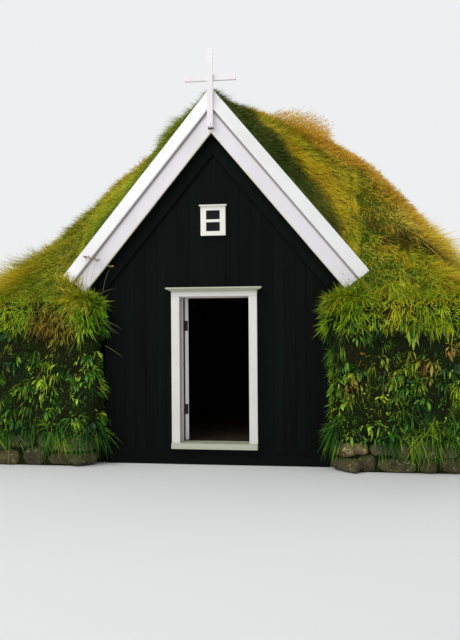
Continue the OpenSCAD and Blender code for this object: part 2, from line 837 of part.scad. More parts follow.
latch_w = 42;      // how far the latch's case reaches past its spindle
latch_h = 120;
latch_t = 22;
rose_r = 20;       // plate round the knob's neck
rose_t = 4;
neck_r = 9;
knob_r = 24;
knob_t = 16;
knob_out = 26;     // from the face to the near side of the knob

// A rim latch inside, with a knob on each face
module door_latch() {
    x = leaf_x1 - stile_w / 2;
    z = rail_zs[1] + stile_w / 2;
    inner_y = leaf_y + leaf_t;
    color(IRON) swung_open() {
        block(x - latch_w, leaf_x1, inner_y, inner_y + latch_t, z - latch_h / 2, z + latch_h / 2);
        for (face = [-1, 1]) translate([x, face < 0 ? leaf_y : inner_y + latch_t, z])
            rotate([face * -90, 0, 0]) {
                cylinder(r = rose_r, h = rose_t);
                cylinder(r = neck_r, h = knob_out + knob_t / 2);
                translate([0, 0, knob_out]) cylinder(r = knob_r, h = knob_t);
            }
    }
}

glass_w = window_w - 2 * window_stile;
pane_h = (window_h - 2 * window_rail - glazing_bar) / 2;
frame_front_y = front_y - window_out;
glass_y = frame_front_y + 14;

module panes(y0, y1) {
    for (side = [-1, 1])
        block(-glass_w / 2, glass_w / 2, y0, y1,
            window_z + side * (glazing_bar + pane_h) / 2 - pane_h / 2,
            window_z + side * (glazing_bar + pane_h) / 2 + pane_h / 2);
}

module window_frame() {
    color(WHITE) difference() {
        block(-window_w / 2, window_w / 2, frame_front_y, inner_front_y + 12,
            window_z - window_h / 2, window_z + window_h / 2);
        panes(frame_front_y - 1, inner_front_y + 20);
    }
}

module window_glass() {
    color("#9fb2b5") panes(glass_y, glass_y + glass_t);
}

cap_side = 14;    // how far the drip cap stands out to each side of the frame
cap_out = 22;     // how far it stands out in front of the frame

module window_cap() {
    z0 = window_z + window_h / 2;
    color(WHITE) along_x(-window_w / 2 - cap_side, window_w / 2 + cap_side)
        polygon([
            [front_y, z0], [frame_front_y - cap_out, z0],
            [frame_front_y - cap_out, z0 + window_cap_t * 0.6], [front_y, z0 + window_cap_t]
        ]);
}

stone_footing();
left_side() turf_wall();  // turf_wall_left
turf_wall();  // turf_wall_right
turf_wall_rear();
left_side() eaves_turf(turf_fullness_left);  // eaves_turf_left
eaves_turf(turf_fullness_right);  // eaves_turf_right
left_side() turf_roof(turf_fullness_left);  // turf_roof_left
turf_roof(turf_fullness_right);  // turf_roof_right
sill_beams();
wall_posts();
left_side() wall_plate();  // wall_plate_left
wall_plate();  // wall_plate_right
gable_rails();
rafters();
collar_ties();
left_side() roof_boards();  // roof_boards_left
roof_boards();  // roof_boards_right
left_side() lining();  // lining_left
lining();  // lining_right
floor_joists();
floor_boards();
left_side() front_wall();  // front_wall_left
front_wall();  // front_wall_right
front_gable_wall();
rear_gable_wall();
frieze_boards();
left_side() bargeboard();  // bargeboard_left
bargeboard();  // bargeboard_right
left_side() weather_board(cross_w / 2);  // weather_board_left
weather_board(cross_w / 2);  // weather_board_right
rear_bargeboards();
rear_weather_boards();
cross_post();
cross_arm();
door_casings();
door_crown();
left_side() door_jamb();  // door_jamb_left
door_jamb();  // door_jamb_right
door_head_jamb();
door_threshold();
jamb_hinges();
door_leaf();
door_panels();
leaf_hinges();
door_latch();
window_frame();
window_glass();
window_cap();
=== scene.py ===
"""Looks of a small turf house: a tarred timber front with white trim between grown turf walls.

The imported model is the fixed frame. The boards, stones, turf courses, grass and leaves are
made here as whole arrays, in metres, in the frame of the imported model: +X to the right of
the front, the front towards -Y and +Z up from the ground.
"""

from __future__ import annotations

import logging
import math
from dataclasses import dataclass, fields
from enum import Enum

import bmesh
import bpy
import numpy as np
from mathutils import Matrix, Vector


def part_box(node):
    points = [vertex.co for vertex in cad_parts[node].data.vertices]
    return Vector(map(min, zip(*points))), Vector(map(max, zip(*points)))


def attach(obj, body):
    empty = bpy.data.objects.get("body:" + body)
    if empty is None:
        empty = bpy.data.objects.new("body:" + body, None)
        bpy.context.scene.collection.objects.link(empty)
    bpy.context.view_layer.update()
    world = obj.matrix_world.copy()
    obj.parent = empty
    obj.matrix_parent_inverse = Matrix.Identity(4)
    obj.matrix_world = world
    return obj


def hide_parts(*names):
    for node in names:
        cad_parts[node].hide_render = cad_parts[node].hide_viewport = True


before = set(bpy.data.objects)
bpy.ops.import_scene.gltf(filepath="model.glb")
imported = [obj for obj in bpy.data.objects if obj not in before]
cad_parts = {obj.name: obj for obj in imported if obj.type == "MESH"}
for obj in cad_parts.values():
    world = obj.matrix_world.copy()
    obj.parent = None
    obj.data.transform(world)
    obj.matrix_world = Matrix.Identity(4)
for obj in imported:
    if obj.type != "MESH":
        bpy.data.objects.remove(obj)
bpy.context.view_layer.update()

LOG = logging.getLogger("turf_house")
HOUSE = "house"
DOOR = "door"
SIDES = ((-1.0, "left"), (1.0, "right"))
Array = np.ndarray
Pair = tuple[float, float]
Triple = tuple[float, float, float]
Colour = Triple
Palette = tuple[Colour, ...]
Mesh = tuple[Array, list[Array], Array]
Material = bpy.types.Material
Socket = bpy.types.NodeSocket
Piece = bpy.types.Object
Random = np.random.Generator


def srgb(red: int, green: int, blue: int) -> Colour:
    """Return the linear colour of an 8-bit sRGB one."""
    values = np.array([red, green, blue], float) / 255
    linear = np.where(values <= 0.04045, values / 12.92, ((values + 0.055) / 1.055) ** 2.4)
    return tuple(float(v) for v in linear)


def palette(*colours: tuple[int, int, int]) -> Palette:
    """Return the linear colours of 8-bit sRGB ones."""
    return tuple(srgb(*colour) for colour in colours)


def smooth(t: Array) -> Array:
    """Return the soft step 3t^2 - 2t^3 of t, held between 0 and 1."""
    t = np.clip(t, 0.0, 1.0)
    return t * t * (3.0 - 2.0 * t)


def past(value: Array, start: Array, width: float) -> Array:
    """Return the soft step of how far value lies past start, which is full at the width."""
    return smooth((value - start) / width)


def bell(value: Array, middle: float, width: float) -> Array:
    """Return exp(-((value - middle) / width)^2)."""
    return np.exp(-(((value - middle) / width) ** 2))


def mix(a: Array, b: Array, t: Array) -> Array:
    """Return a + (b - a) t."""
    return a + (b - a) * t


def unit(v: Array) -> Array:
    """Return the rows of v scaled to length one."""
    return v / np.maximum(np.linalg.norm(v, axis=-1, keepdims=True), 1e-9)


def stacked(*parts: Array) -> Array:
    """Return arrays of one shape as the entries of a new last axis, such as x, y and z."""
    return np.stack(parts, axis=-1)


def at_lengths(s: Array, lengths: Array, rows: Array) -> Array:
    """Return the rows at lengths s along a path, on straight lines between those at lengths."""
    return stacked(*(np.interp(s, lengths, column) for column in rows.T))


def value_noise(points: Array, scale: float, seed: int) -> Array:
    """Return smooth noise from -1 to 1 at points.

    Each corner of a cubic lattice of the given spacing has a value from a hash of its whole
    numbers, and the eight corners round a point are blended with soft steps.

    Args:
        points: (n, 3) places in metres.
        scale: spacing of the lattice in metres.
        seed: whole number that picks another pattern.

    Returns:
        (n,) noise values.
    """
    p = np.asarray(points, float) / scale + 1000.0
    base = np.floor(p).astype(np.int64)
    f = smooth(p - base)
    total = np.zeros(len(p))
    for corner in np.ndindex(2, 2, 2):
        c = base + np.array(corner)
        h = (c[:, 0] * 73856093) ^ (c[:, 1] * 19349663) ^ (c[:, 2] * 83492791) ^ (seed * 2654435761)
        h = (h ^ (h >> 13)) * 1274126177 & 0x7FFFFFFF
        value = ((h ^ (h >> 16)) % 65536) / 32767.5 - 1.0
        weight = np.prod(np.where(np.array(corner) == 1, f, 1.0 - f), axis=1)
        total += value * weight
    return total


def fractal(points: Array, scale: float, seed: int, octaves: int = 3) -> Array:
    """Return value noise summed over octaves, each half as large and half as strong."""
    total = np.zeros(len(points))
    for k in range(octaves):
        total += value_noise(points, scale / 2**k, seed + 17 * k) * 0.5**k
    return total / (2.0 - 0.5 ** (octaves - 1))


def gathered(parts: list[Mesh]) -> Mesh:
    """Return the vertices, faces and tints of several meshes as those of one."""
    vertices, faces, tints = zip(*parts)
    starts = np.cumsum([0] + [len(v) for v in vertices[:-1]])
    groups = [group + start for start, own in zip(starts, faces) for group in own]
    return np.concatenate(vertices), groups, np.concatenate(tints)


def add_object(name: str, data: bpy.types.ID) -> Piece:
    """Return a new object of the scene that holds the data."""
    thing = bpy.data.objects.new(name, data)
    bpy.context.scene.collection.objects.link(thing)
    return thing


def make_piece(
    name: str,
    vertices: Array,
    faces: Array | list[Array],
    material: Material,
    slot: str,
    body: str = HOUSE,
    tint: Array | None = None,
    is_smooth: bool = False,
) -> Piece:
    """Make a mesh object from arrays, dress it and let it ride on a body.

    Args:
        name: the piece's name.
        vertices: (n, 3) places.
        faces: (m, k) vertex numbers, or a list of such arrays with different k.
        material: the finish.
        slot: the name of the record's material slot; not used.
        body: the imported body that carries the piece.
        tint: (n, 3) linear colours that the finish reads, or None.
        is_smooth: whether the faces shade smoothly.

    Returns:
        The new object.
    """
    groups = faces if isinstance(faces, list) else [faces]
    sizes = np.concatenate([np.full(len(g), g.shape[1], np.int32) for g in groups])
    loops = np.concatenate([g.ravel() for g in groups]).astype(np.int32)
    mesh = bpy.data.meshes.new(name)
    mesh.vertices.add(len(vertices))
    mesh.vertices.foreach_set("co", np.asarray(vertices, np.float32).ravel())
    mesh.loops.add(len(loops))
    mesh.loops.foreach_set("vertex_index", loops)
    mesh.polygons.add(len(sizes))
    starts = np.concatenate([[0], np.cumsum(sizes)[:-1]]).astype(np.int32)
    mesh.polygons.foreach_set("loop_start", starts)
    mesh.polygons.foreach_set("use_smooth", np.full(len(sizes), is_smooth))
    mesh.update(calc_edges=True)
    if tint is not None:
        rgba = np.ones((len(vertices), 4), np.float32)
        rgba[:, :3] = tint
        layer = mesh.color_attributes.new("tint", "FLOAT_COLOR", "POINT")
        layer.data.foreach_set("color", rgba.ravel())
    mesh.materials.append(material)
    piece = add_object(name, mesh)
    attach(piece, body)
    return piece


def grid_faces(rows: int, columns: int, closed: bool = False) -> Array:
    """Return the quads of a grid of rows by columns points, counted row by row.

    Args:
        rows: number of rows.
        columns: number of points in a row.
        closed: whether the last point of each row joins the first.
    """
    i, j = np.meshgrid(np.arange(rows - 1), np.arange(columns if closed else columns - 1),
                       indexing="ij")
    a = i * columns + j
    b = i * columns + (j + 1) % columns
    return stacked(a, b, b + columns, a + columns).reshape(-1, 4)


def closed_sheet(top: Array, bottom: Array) -> tuple[Array, Array]:
    """Return the closed solid between two grids of points that have the same shape.

    The top keeps the grid's own quads, the bottom has them turned over, and a strip of quads
    joins their rims. If the solid's signed volume, the sum of a . (b x c) / 6 over its
    triangles, is negative, all faces are turned over.

    Args:
        top: (rows, columns, 3) outer surface.
        bottom: (rows, columns, 3) inner surface.

    Returns:
        The vertices and the quads.
    """
    rows, columns = top.shape[:2]
    n = rows * columns
    quads = grid_faces(rows, columns)
    index = np.arange(n).reshape(rows, columns)
    rim = np.concatenate([index[0, :-1], index[:-1, -1], index[-1, :0:-1], index[:0:-1, 0]])
    following = np.roll(rim, -1)
    strip = stacked(following, rim, rim + n, following + n)
    vertices = np.concatenate([top.reshape(-1, 3), bottom.reshape(-1, 3)])
    faces = np.concatenate([quads, quads[:, ::-1] + n, strip])
    a, b, c, d = (vertices[faces[:, k]] for k in range(4))
    volume = np.einsum("ij,ij->", a, np.cross(b, c)) + np.einsum("ij,ij->", a, np.cross(c, d))
    return vertices, faces if volume > 0 else faces[:, ::-1]


def prisms(profile: Array, low: Array, high: Array) -> tuple[Array, list[Array]]:
    """Return upright prisms with a k-sided plan and their own slanting ends.

    Args:
        profile: (n, k, 2) plans, counter-clockwise seen from above.
        low: (n, k) heights of the lower corners.
        high: (n, k) heights of the upper corners.

    Returns:
        The vertices, and the side quads and end caps.
    """
    n, k = low.shape
    lower = np.concatenate([profile, low[..., None]], axis=-1)
    upper = np.concatenate([profile, high[..., None]], axis=-1)
    vertices = np.concatenate([lower, upper], axis=1).reshape(-1, 3)
    start = (np.arange(n) * 2 * k)[:, None]
    j = np.arange(k)
    following = (j + 1) % k
    sides = stacked(start + j, start + following, start + following + k, start + j + k)
    return vertices, [sides.reshape(-1, 4), start + j[::-1], start + j + k]


class Grain(Enum):
    """The direction of the wood's grain: turns in degrees that bring it upright."""

    UPRIGHT = (0.0, 0.0, 0.0)
    LEVEL_X = (0.0, 90.0, 0.0)
    LEVEL_Y = (90.0, 0.0, 0.0)
    RIGHT_SLOPE = (0.0, 39.8, 0.0)
    LEFT_SLOPE = (0.0, -39.8, 0.0)


class Graph:
    """A short way to write a material's node tree."""

    def __init__(self, name: str, roughness: float, specular: float) -> None:
        """Start a material whose shader has a plain roughness and specular level."""
        self.material = bpy.data.materials.new(name)
        self.material.use_nodes = True
        self.nodes = self.material.node_tree.nodes
        self.links = self.material.node_tree.links
        self.shader = self.nodes["Principled BSDF"]
        self.put(self.shader, {"Roughness": roughness, "Specular IOR Level": specular})

    def put(self, node: bpy.types.Node, values: dict[str | int, object]) -> None:
        """Link outputs to a node's inputs, or set the inputs to plain values."""
        for key, value in values.items():
            socket = node.inputs[key]
            if isinstance(value, Socket):
                self.links.new(value, socket)
            elif socket.type == "RGBA":
                socket.default_value = (*value, 1.0)
            else:
                socket.default_value = value

    def add(self, kind: str, values: dict[str | int, object] | None = None,
            **settings: object) -> bpy.types.Node:
        """Add a node, set its properties, and link or set its inputs.

        Args:
            kind: the node's type.
            values: a link or a plain value for each input's name or number.
            settings: the node's properties.

        Returns:
            The node.
        """
        node = self.nodes.new(kind)
        for key, value in settings.items():
            setattr(node, key, value)
        self.put(node, values or {})
        return node

    def coordinates(self) -> Socket:
        """Return object coordinates."""
        return self.add("ShaderNodeTexCoord").outputs["Object"]

    def noise(self, scale: float, detail: float = 4.0, roughness: float = 0.55,
              stretch: Triple = (1, 1, 1), grain: Grain = Grain.UPRIGHT) -> Socket:
        """Return noise at the place, turned to the grain and then scaled by stretch.

        Args:
            scale: how fine the noise is.
            detail: how many finer layers it has.
            roughness: how strong they are.
            stretch: scale along each axis, the grain's own axis last.
            grain: direction of the wood, upright for what has none.
        """
        turned = self.add("ShaderNodeMapping", {
            "Vector": self.coordinates(), "Rotation": [math.radians(a) for a in grain.value]})
        place = self.add("ShaderNodeMapping", {"Vector": turned.outputs[0], "Scale": stretch})
        return self.add("ShaderNodeTexNoise", {
            "Vector": place.outputs[0], "Scale": scale, "Detail": detail,
            "Roughness": roughness}).outputs["Fac"]

    def spread(self, value: Socket, low: float, high: float, to_low: float = 0.0,
               to_high: float = 1.0) -> Socket:
        """Return value carried from low..high to to_low..to_high, held at the ends."""
        return self.add("ShaderNodeMapRange", {
            "Value": value, "From Min": low, "From Max": high, "To Min": to_low,
            "To Max": to_high}, clamp=True).outputs["Result"]

    def blend(self, share: object, a: object, b: object, mode: str = "MIX") -> Socket:
        """Return colour a mixed with colour b by share."""
        return self.add("ShaderNodeMix", data_type="RGBA", blend_type=mode,
                        values={0: share, 6: a, 7: b}).outputs[2]

    def times(self, a: object, b: object, how: str = "MULTIPLY") -> Socket:
        """Return a and b joined by a math operation."""
        return self.add("ShaderNodeMath", {0: a, 1: b}, operation=how).outputs[0]

    def along(self, direction: Triple, start: float) -> Socket:
        """Return how far a place lies along a direction, less the start."""
        dot = self.add("ShaderNodeVectorMath", {0: self.coordinates(), 1: direction},
                       operation="DOT_PRODUCT")
        return self.times(dot.outputs["Value"], start, "SUBTRACT")

    def upright_part(self, vector: Socket) -> Socket:
        """Return the upright part of a vector."""
        return self.add("ShaderNodeSeparateXYZ", {0: vector}).outputs["Z"]

    def upward(self) -> Socket:
        """Return how far the surface faces up, from -1 to 1."""
        return self.upright_part(self.add("ShaderNodeNewGeometry").outputs["Normal"])

    def height(self) -> Socket:
        """Return the height over the ground in metres."""
        return self.upright_part(self.coordinates())

    def tint(self) -> Socket:
        """Return the colour that the mesh carries."""
        return self.add("ShaderNodeVertexColor", layer_name="tint").outputs["Color"]

    def bump(self, height: Socket, strength: float, depth: float) -> None:
        """Roughen the shader's surface by a height."""
        node = self.add("ShaderNodeBump", {"Strength": strength, "Distance": depth, "Height": height})
        self.put(self.shader, {"Normal": node.outputs["Normal"]})

    def colour(self, value: object) -> None:
        """Set the shader's base colour."""
        self.put(self.shader, {"Base Color": value})

    def rough(self, value: Socket) -> None:
        """Set the shader's roughness."""
        self.put(self.shader, {"Roughness": value})


@dataclass(frozen=True)
class WhitePaint:
    """Weathered white oil paint on sawn wood, with algae where rain lies."""

    paint: Colour = srgb(243, 241, 240)
    dirt: Colour = srgb(205, 198, 190)
    algae: Colour = srgb(156, 163, 134)
    wood: Colour = srgb(112, 100, 86)
    # The yellowish tone along a sloping board's lower edge.
    drip: Colour = srgb(206, 200, 150)
    algae_share: float = 0.0
    lying_algae: float = 0.8
    wear: float = 0.68

    def build(self, name: str, grain: Grain, edge: tuple[Triple, float] | None = None,
              worn_under: float | None = None, lap: float | None = None) -> Material:
        """Return the paint for boards with that grain.

        Args:
            name: the material's name.
            grain: direction of the boards.
            edge: direction square to a sloping board and the distance along it of the board's
            lower edge, along which the paint turns yellowish, or None.
            worn_under: height under which rain has flaked the paint, or None.
            lap: distance from the board's lower edge at which a painted shadow, in the bare wood's
                brown, lies under the lap of the weather board, or None.
        """
        g = Graph(name, roughness=0.42, specular=0.45)
        fibres = g.noise(1.0, 5.0, 0.6, (60, 60, 2.2), grain)
        clouds = g.noise(2.3, 5.0)
        specks = g.noise(30.0, 3.0, 0.7, (1.6, 1.6, 0.6), grain)
        base = g.blend(g.spread(clouds, 0.45, 0.78, 0.0, 0.3), self.paint, self.dirt)
        base = g.blend(g.spread(fibres, 0.55, 0.8, 0.0, 0.16), base, self.dirt)
        lying = g.spread(g.upward(), 0.15, 0.8)
        green = g.times(g.spread(g.noise(9.0), 0.3, 0.6), g.times(lying, self.lying_algae))
        green = g.times(green, self.algae_share, "ADD")
        base = g.blend(g.times(green, g.spread(clouds, 0.3, 0.6, 0.6, 1.0)), base, self.algae)
        if edge:
            # A yellowish band along the board's lower edge.
            along = g.along(*edge)
            near = g.times(g.spread(along, 0.004, 0.02, 1.0, 0.0), g.spread(clouds, 0.3, 0.6, 0.4, 0.9))
            base = g.blend(near, base, self.drip)
            if lap is not None:
                # Painted shadow under the weather board's lap, in the bare wood's brown.
                under = g.spread(along, lap - 0.024, lap - 0.008, 0.0, 0.7)
                base = g.blend(under, base, self.wood)
        limit = g.times(g.spread(fibres, 0.3, 0.7, 0.85, 1.08), specks)
        bare = g.spread(limit, self.wear, self.wear + 0.05)
        if worn_under is not None:
            low = g.spread(g.height(), worn_under, worn_under - 0.16)
            flakes = g.spread(limit, 0.58, 0.62)
            bare = g.times(bare, g.times(low, flakes), "MAXIMUM")
        g.colour(g.blend(bare, base, self.wood))
        g.rough(g.spread(specks, 0.3, 0.8, 0.36, 0.62))
        g.bump(g.times(fibres, g.times(bare, -0.6), "ADD"), 0.35, 0.0025)
        return g.material


@dataclass(frozen=True)
class TarredWood:
    """Upright boards under many coats of wood tar, nearly black with a green cast."""

    tar: Colour = srgb(6, 10, 9)
    faded: Colour = srgb(13, 22, 19)
    worn: Colour = srgb(30, 37, 33)

    def build(self, name: str, has_tint: bool, grain: Grain = Grain.UPRIGHT) -> Material:
        """Return the tarred finish.

        Args:
            name: the material's name.
            has_tint: whether the mesh carries a tint for each board.
            grain: direction of the boards.
        """
        g = Graph(name, roughness=0.62, specular=0.06)
        fibres = g.noise(1.0, 6.0, 0.62, (75, 75, 1.6), grain)
        streaks = g.noise(1.0, 4.0, stretch=(14, 14, 0.7), grain=grain)
        clouds = g.noise(1.7, 3.0)
        base = g.blend(g.spread(streaks, 0.42, 0.75, 0.0, 0.8), self.tar, self.faded)
        base = g.blend(g.times(g.spread(fibres, 0.58, 0.76), g.spread(clouds, 0.4, 0.65, 0.1, 0.6)),
                       base, self.worn)
        if has_tint:
            base = g.blend(1.0, base, g.tint(), "MULTIPLY")
        g.colour(base)
        g.rough(g.spread(streaks, 0.3, 0.7, 0.5, 0.75))
        g.bump(fibres, 0.5, 0.003)
        return g.material


@dataclass(frozen=True)
class BareTimber:
    """Old unpainted softwood of the frame, floor and lining."""

    light: Colour = srgb(84, 66, 49)
    dark: Colour = srgb(42, 33, 26)

    def build(self, name: str, grain: Grain) -> Material:
        """Return the timber for members with that grain."""
        g = Graph(name, roughness=0.75, specular=0.25)
        fibres = g.noise(1.0, 6.0, 0.6, (48, 48, 2.0), grain)
        clouds = g.noise(3.0, 4.0)
        base = g.blend(fibres, self.dark, self.light)
        g.colour(g.blend(g.spread(clouds, 0.4, 0.7, 0.0, 0.5), base, self.dark))
        g.bump(fibres, 0.4, 0.003)
        return g.material


@dataclass(frozen=True)
class OldIron:
    """Black iron with rust in its pits."""

    name: str = "old_iron"
    iron: Colour = srgb(38, 35, 33)
    rust: Colour = srgb(96, 52, 28)

    def build(self) -> Material:
        """Return the iron."""
        g = Graph(self.name, roughness=0.55, specular=0.5)
        pits = g.noise(60.0, 6.0, 0.65)
        g.put(g.shader, {"Metallic": 0.6})
        g.colour(g.blend(g.spread(pits, 0.5, 0.68), self.iron, self.rust))
        g.rough(g.spread(pits, 0.3, 0.7, 0.4, 0.8))
        g.bump(pits, 0.5, 0.0015)
        return g.material


@dataclass(frozen=True)
class PaneGlass:
    """Thin old window glass, a little dusty."""

    name: str = "pane_glass"
    tone: Colour = srgb(96, 108, 112)
    index: float = 1.22

    def build(self) -> Material:
        """Return the glass."""
        g = Graph(self.name, roughness=0.06, specular=0.3)
        g.colour(self.tone)
        g.put(g.shader, {"Transmission Weight": 0.95, "IOR": self.index})
        ripple = g.noise(14.0, 2.0)
        g.rough(g.spread(ripple, 0.3, 0.8, 0.04, 0.16))
        g.bump(ripple, 0.08, 0.004)
        return g.material


@dataclass(frozen=True)
class Sod:
    """Soil, roots and dead thatch under the living grass."""

    name: str
    # The defaults are near black: the walls' earth between the growth is painted shade.
    soil: Colour = srgb(18, 22, 11)
    thatch: Colour = srgb(46, 44, 20)
    moss: Colour = srgb(26, 44, 16)

    def build(self) -> Material:
        """Return the turf's own surface."""
        g = Graph(self.name, roughness=0.95, specular=0.08)
        lumps = g.noise(5.0, 6.0, 0.65)
        fine = g.noise(55.0, 6.0, 0.7)
        base = g.blend(g.spread(fine, 0.35, 0.7), self.soil, self.thatch)
        g.colour(g.blend(g.spread(lumps, 0.42, 0.62, 0.0, 0.8), base, self.moss))
        g.bump(g.times(lumps, fine, "ADD"), 0.9, 0.02)
        return g.material


@dataclass(frozen=True)
class Growth:
    """Grass blades or leaves, whose colour the mesh carries."""

    name: str
    gloss: float = 0.22
    roughness: float = 0.6

    def build(self) -> Material:
        """Return the finish of living and dead blades."""
        g = Graph(self.name, roughness=self.roughness, specular=self.gloss)
        mottle = g.noise(38.0, 3.0)
        dim = g.blend(g.spread(mottle, 0.3, 0.7), (0.8, 0.8, 0.8), (1.0, 1.0, 1.0))
        g.colour(g.blend(1.0, g.tint(), dim, "MULTIPLY"))
        return g.material


@dataclass(frozen=True)
class FieldStone:
    """Brown-grey field stones with lichen and moss."""

    name: str = "field_stone"
    light: Colour = srgb(126, 114, 86)
    dark: Colour = srgb(58, 52, 38)
    lichen: Colour = srgb(160, 152, 112)
    moss: Colour = srgb(62, 74, 24)

    def build(self) -> Material:
        """Return the stone, shaded by the tint that each stone carries."""
        g = Graph(self.name, roughness=0.9, specular=0.2)
        rough = g.noise(11.0, 8.0, 0.68)
        fine = g.noise(90.0, 4.0, 0.7)
        base = g.blend(g.spread(rough, 0.35, 0.68), self.dark, self.light)
        base = g.blend(g.spread(g.noise(23.0, 3.0), 0.6, 0.67), base, self.lichen)
        base = g.blend(g.times(g.spread(g.upward(), -0.5, 0.7), g.spread(rough, 0.42, 0.6)), base,
                       self.moss)
        g.colour(g.blend(1.0, base, g.tint(), "MULTIPLY"))
        g.bump(g.times(rough, g.times(fine, 0.3), "ADD"), 0.7, 0.012)
        return g.material


@dataclass
class HouseForm:
    """The house's form in metres: its boxes come from the frame, the turf's curves from here."""

    roof_rise: float = 1.2
    apex: float = 3.654
    footing_step: float = 0.04
    lobe_bank: float = 0.13
    lobe_gap: float = 2.38
    batter: float = 0.08
    corner_r: float = 0.42
    lobe_r: float = 0.13
    growth_lip: float = 0.105
    growth_hump: float = 0.03
    hump_along: float = 1.06
    hump_up: float = 0.9
    ridge_top: float = 4.14
    fullness_left: float = 1.3
    fullness_right: float = 2.0
    swell: float = 0.026
    swell_across: float = 1.9
    swell_along: float = 2.25
    swell_edge: float = 0.3
    rise_l: float = 1.25
    thinning: float = 0.3
    eaves_depth: float = 0.07
    foot_cover: float = 0.03
    board_n: float = 0.1253
    turf_n: float = 0.1506
    verge_n: float = 0.306
    edge_turf: float = 0.026
    bare_x: float = 1.6
    bare_reach: float = 0.2

    def __post_init__(self) -> None:
        """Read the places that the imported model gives."""
        self.foot_x, self.foot_y, self.footing_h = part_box("stone_footing")[1]
        eaves_lo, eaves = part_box("eaves_turf_right")
        self.eave_x, self.wall_top = eaves_lo.x, eaves_lo.z
        self.berm_x, self.berm_y = eaves.x, eaves.y
        self.verge_front, self.verge_rear = (end.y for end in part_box("turf_roof_right"))
        self.front_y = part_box("front_gable_wall")[0].y
        self.rear_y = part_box("rear_gable_wall")[1].y
        self.rear_wall_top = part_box("turf_wall_rear")[1].z
        self.lobe_x = self.lobe_gap / 2 + self.growth_lip
        self.shell_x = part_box("sill_beams")[1].x
        self.turf_x = self.shell_x + 0.01
        self.barge_foot_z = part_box("bargeboard_right")[0].z

    @property
    def pitch(self) -> float:
        """Slope of the roof in radians."""
        return math.atan(self.roof_rise)

    def slope_z(self, x: Array, out: float) -> Array:
        """Return the height over x of the line that lies out above the bargeboards' edge."""
        return self.apex + out / math.cos(self.pitch) - self.roof_rise * np.abs(x)

    def behind_verge(self, y: Array) -> Array:
        """Return how far y lies behind the nearer end of the roof's turf."""
        return np.minimum(y - self.verge_front, self.verge_rear - y)

    def is_bare(self, x: Array, is_front: Array) -> Array:
        """Return whether places at the front lie by the one stone that the growth leaves bare."""
        return is_front & (np.abs(x - self.bare_x) < self.bare_reach)

    def edge_x(self, y: Array) -> Array:
        """Return the outer edge of the wall top at y, which turns round the corners.

        edge = berm_x - r + sqrt(r^2 - d^2), where d is how far y lies past the straight side.
        """
        d = np.maximum(0.0, np.abs(y) - self.berm_y + self.corner_r)
        r = self.corner_r
        return self.berm_x - r + np.sqrt(np.maximum(0.0, r * r - d * d))

    def hump(self, x: Array, y: Array, z: Array) -> Array:
        """Return the humps of the side walls' faces at a place of their foot and a height.

        They are a product of two waves, sin 2 pi ((|x| + y) / l + z / 2h) and
        sin 2 pi (z / h + (|x| - y) / 3l), and fade at the foot and at the level top.
        """
        x, turn = np.abs(x), 2 * np.pi
        t = np.clip((z - self.footing_h) / (self.wall_top - self.footing_h), 0, 1)
        first = np.sin(turn * ((x + y) / self.hump_along + z / (2 * self.hump_up)))
        second = np.sin(turn * (z / self.hump_up + (x - y) / (3 * self.hump_along)))
        return self.growth_hump * np.sin(np.pi * t) * first * second

    def turf_z(self, x: Array, y: Array) -> Array:
        """Return the height of the turf at x and y.

        At mid-length it falls from the ridge to the wall's edge as 1 - (|x| / edge)^fullness,
        and the two slopes have their own fullness. Behind the bargeboards it follows the slope
        down to their feet, and then a soft step down to the edge. Between the two it rises as
        1 - (1 - t)^2 with the distance t from the verge, and the eaves' turf comes up from the
        wall's end by a soft step.

        Args:
            x: places across the front, 0 under the ridge.
            y: places along the house.
        """
        fullness = np.where(x < 0, self.fullness_left, self.fullness_right)
        x = np.abs(x)
        edge = self.edge_x(y)
        low = self.wall_top + self.edge_turf
        full = mix(self.ridge_top, low, np.clip(x / edge, 0, 1) ** fullness)
        low_x = self.eave_x - self.thinning
        low_z = self.slope_z(low_x, self.verge_n)
        eave_z = self.slope_z(self.eave_x, self.turf_n) + self.eaves_depth
        foot_z = self.barge_foot_z + self.foot_cover
        beyond = past(x, self.eave_x, np.maximum(edge - self.eave_x, 1e-3))
        verge = np.where(
            x < low_x, self.slope_z(x, self.verge_n),
            np.where(x < self.eave_x, mix(low_z, eave_z, (x - low_x) / self.thinning),
                     mix(foot_z, low, beyond)))
        t = np.clip(self.behind_verge(y) / self.rise_l, 0, 1)
        share = 1 - (1 - t) ** 2
        waves = np.sin(2 * np.pi * (x / self.swell_across + y / (4 * self.swell_across)))
        waves *= np.sin(2 * np.pi * (y / self.swell_along + x / (4 * self.swell_along))
                        + math.radians(40))
        lift = share * self.swell * waves * np.clip((edge - x) / self.swell_edge, 0, 1)
        inside = mix(verge, full, share) + lift
        end = smooth(np.minimum(y + self.berm_y, self.berm_y - y) / (self.berm_y + self.verge_front))
        return mix(low, inside, np.where(x < self.eave_x, 1.0, end))


FORM = HouseForm()


def carried_over(name: str, nodes: list[str], material: Material, bevel: float,
                 body: str = HOUSE) -> None:
    """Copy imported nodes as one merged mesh, ease its edges, and let it stand for them.

    Args:
        name: the new piece's name.
        nodes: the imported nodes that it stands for.
        material: its finish.
        bevel: width of the eased edges in metres.
        body: the body that carries it.
    """
    work = bmesh.new()
    for node in nodes:
        work.from_mesh(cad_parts[node].data)
    bmesh.ops.remove_doubles(work, verts=work.verts, dist=1e-5)
    bmesh.ops.dissolve_limit(work, angle_limit=math.radians(0.6), verts=work.verts, edges=work.edges)
    mesh = bpy.data.meshes.new(name)
    work.to_mesh(mesh)
    work.free()
    mesh.materials.append(material)
    piece = add_object(name, mesh)
    if bevel > 0:
        ease = piece.modifiers.new("eased_edges", "BEVEL")
        ease.width = bevel
        ease.segments = 2
        ease.limit_method = "ANGLE"
        ease.angle_limit = math.radians(30)
    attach(piece, body)
    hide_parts(*nodes)
    LOG.info("%s: carried over from %s", name, ", ".join(nodes))


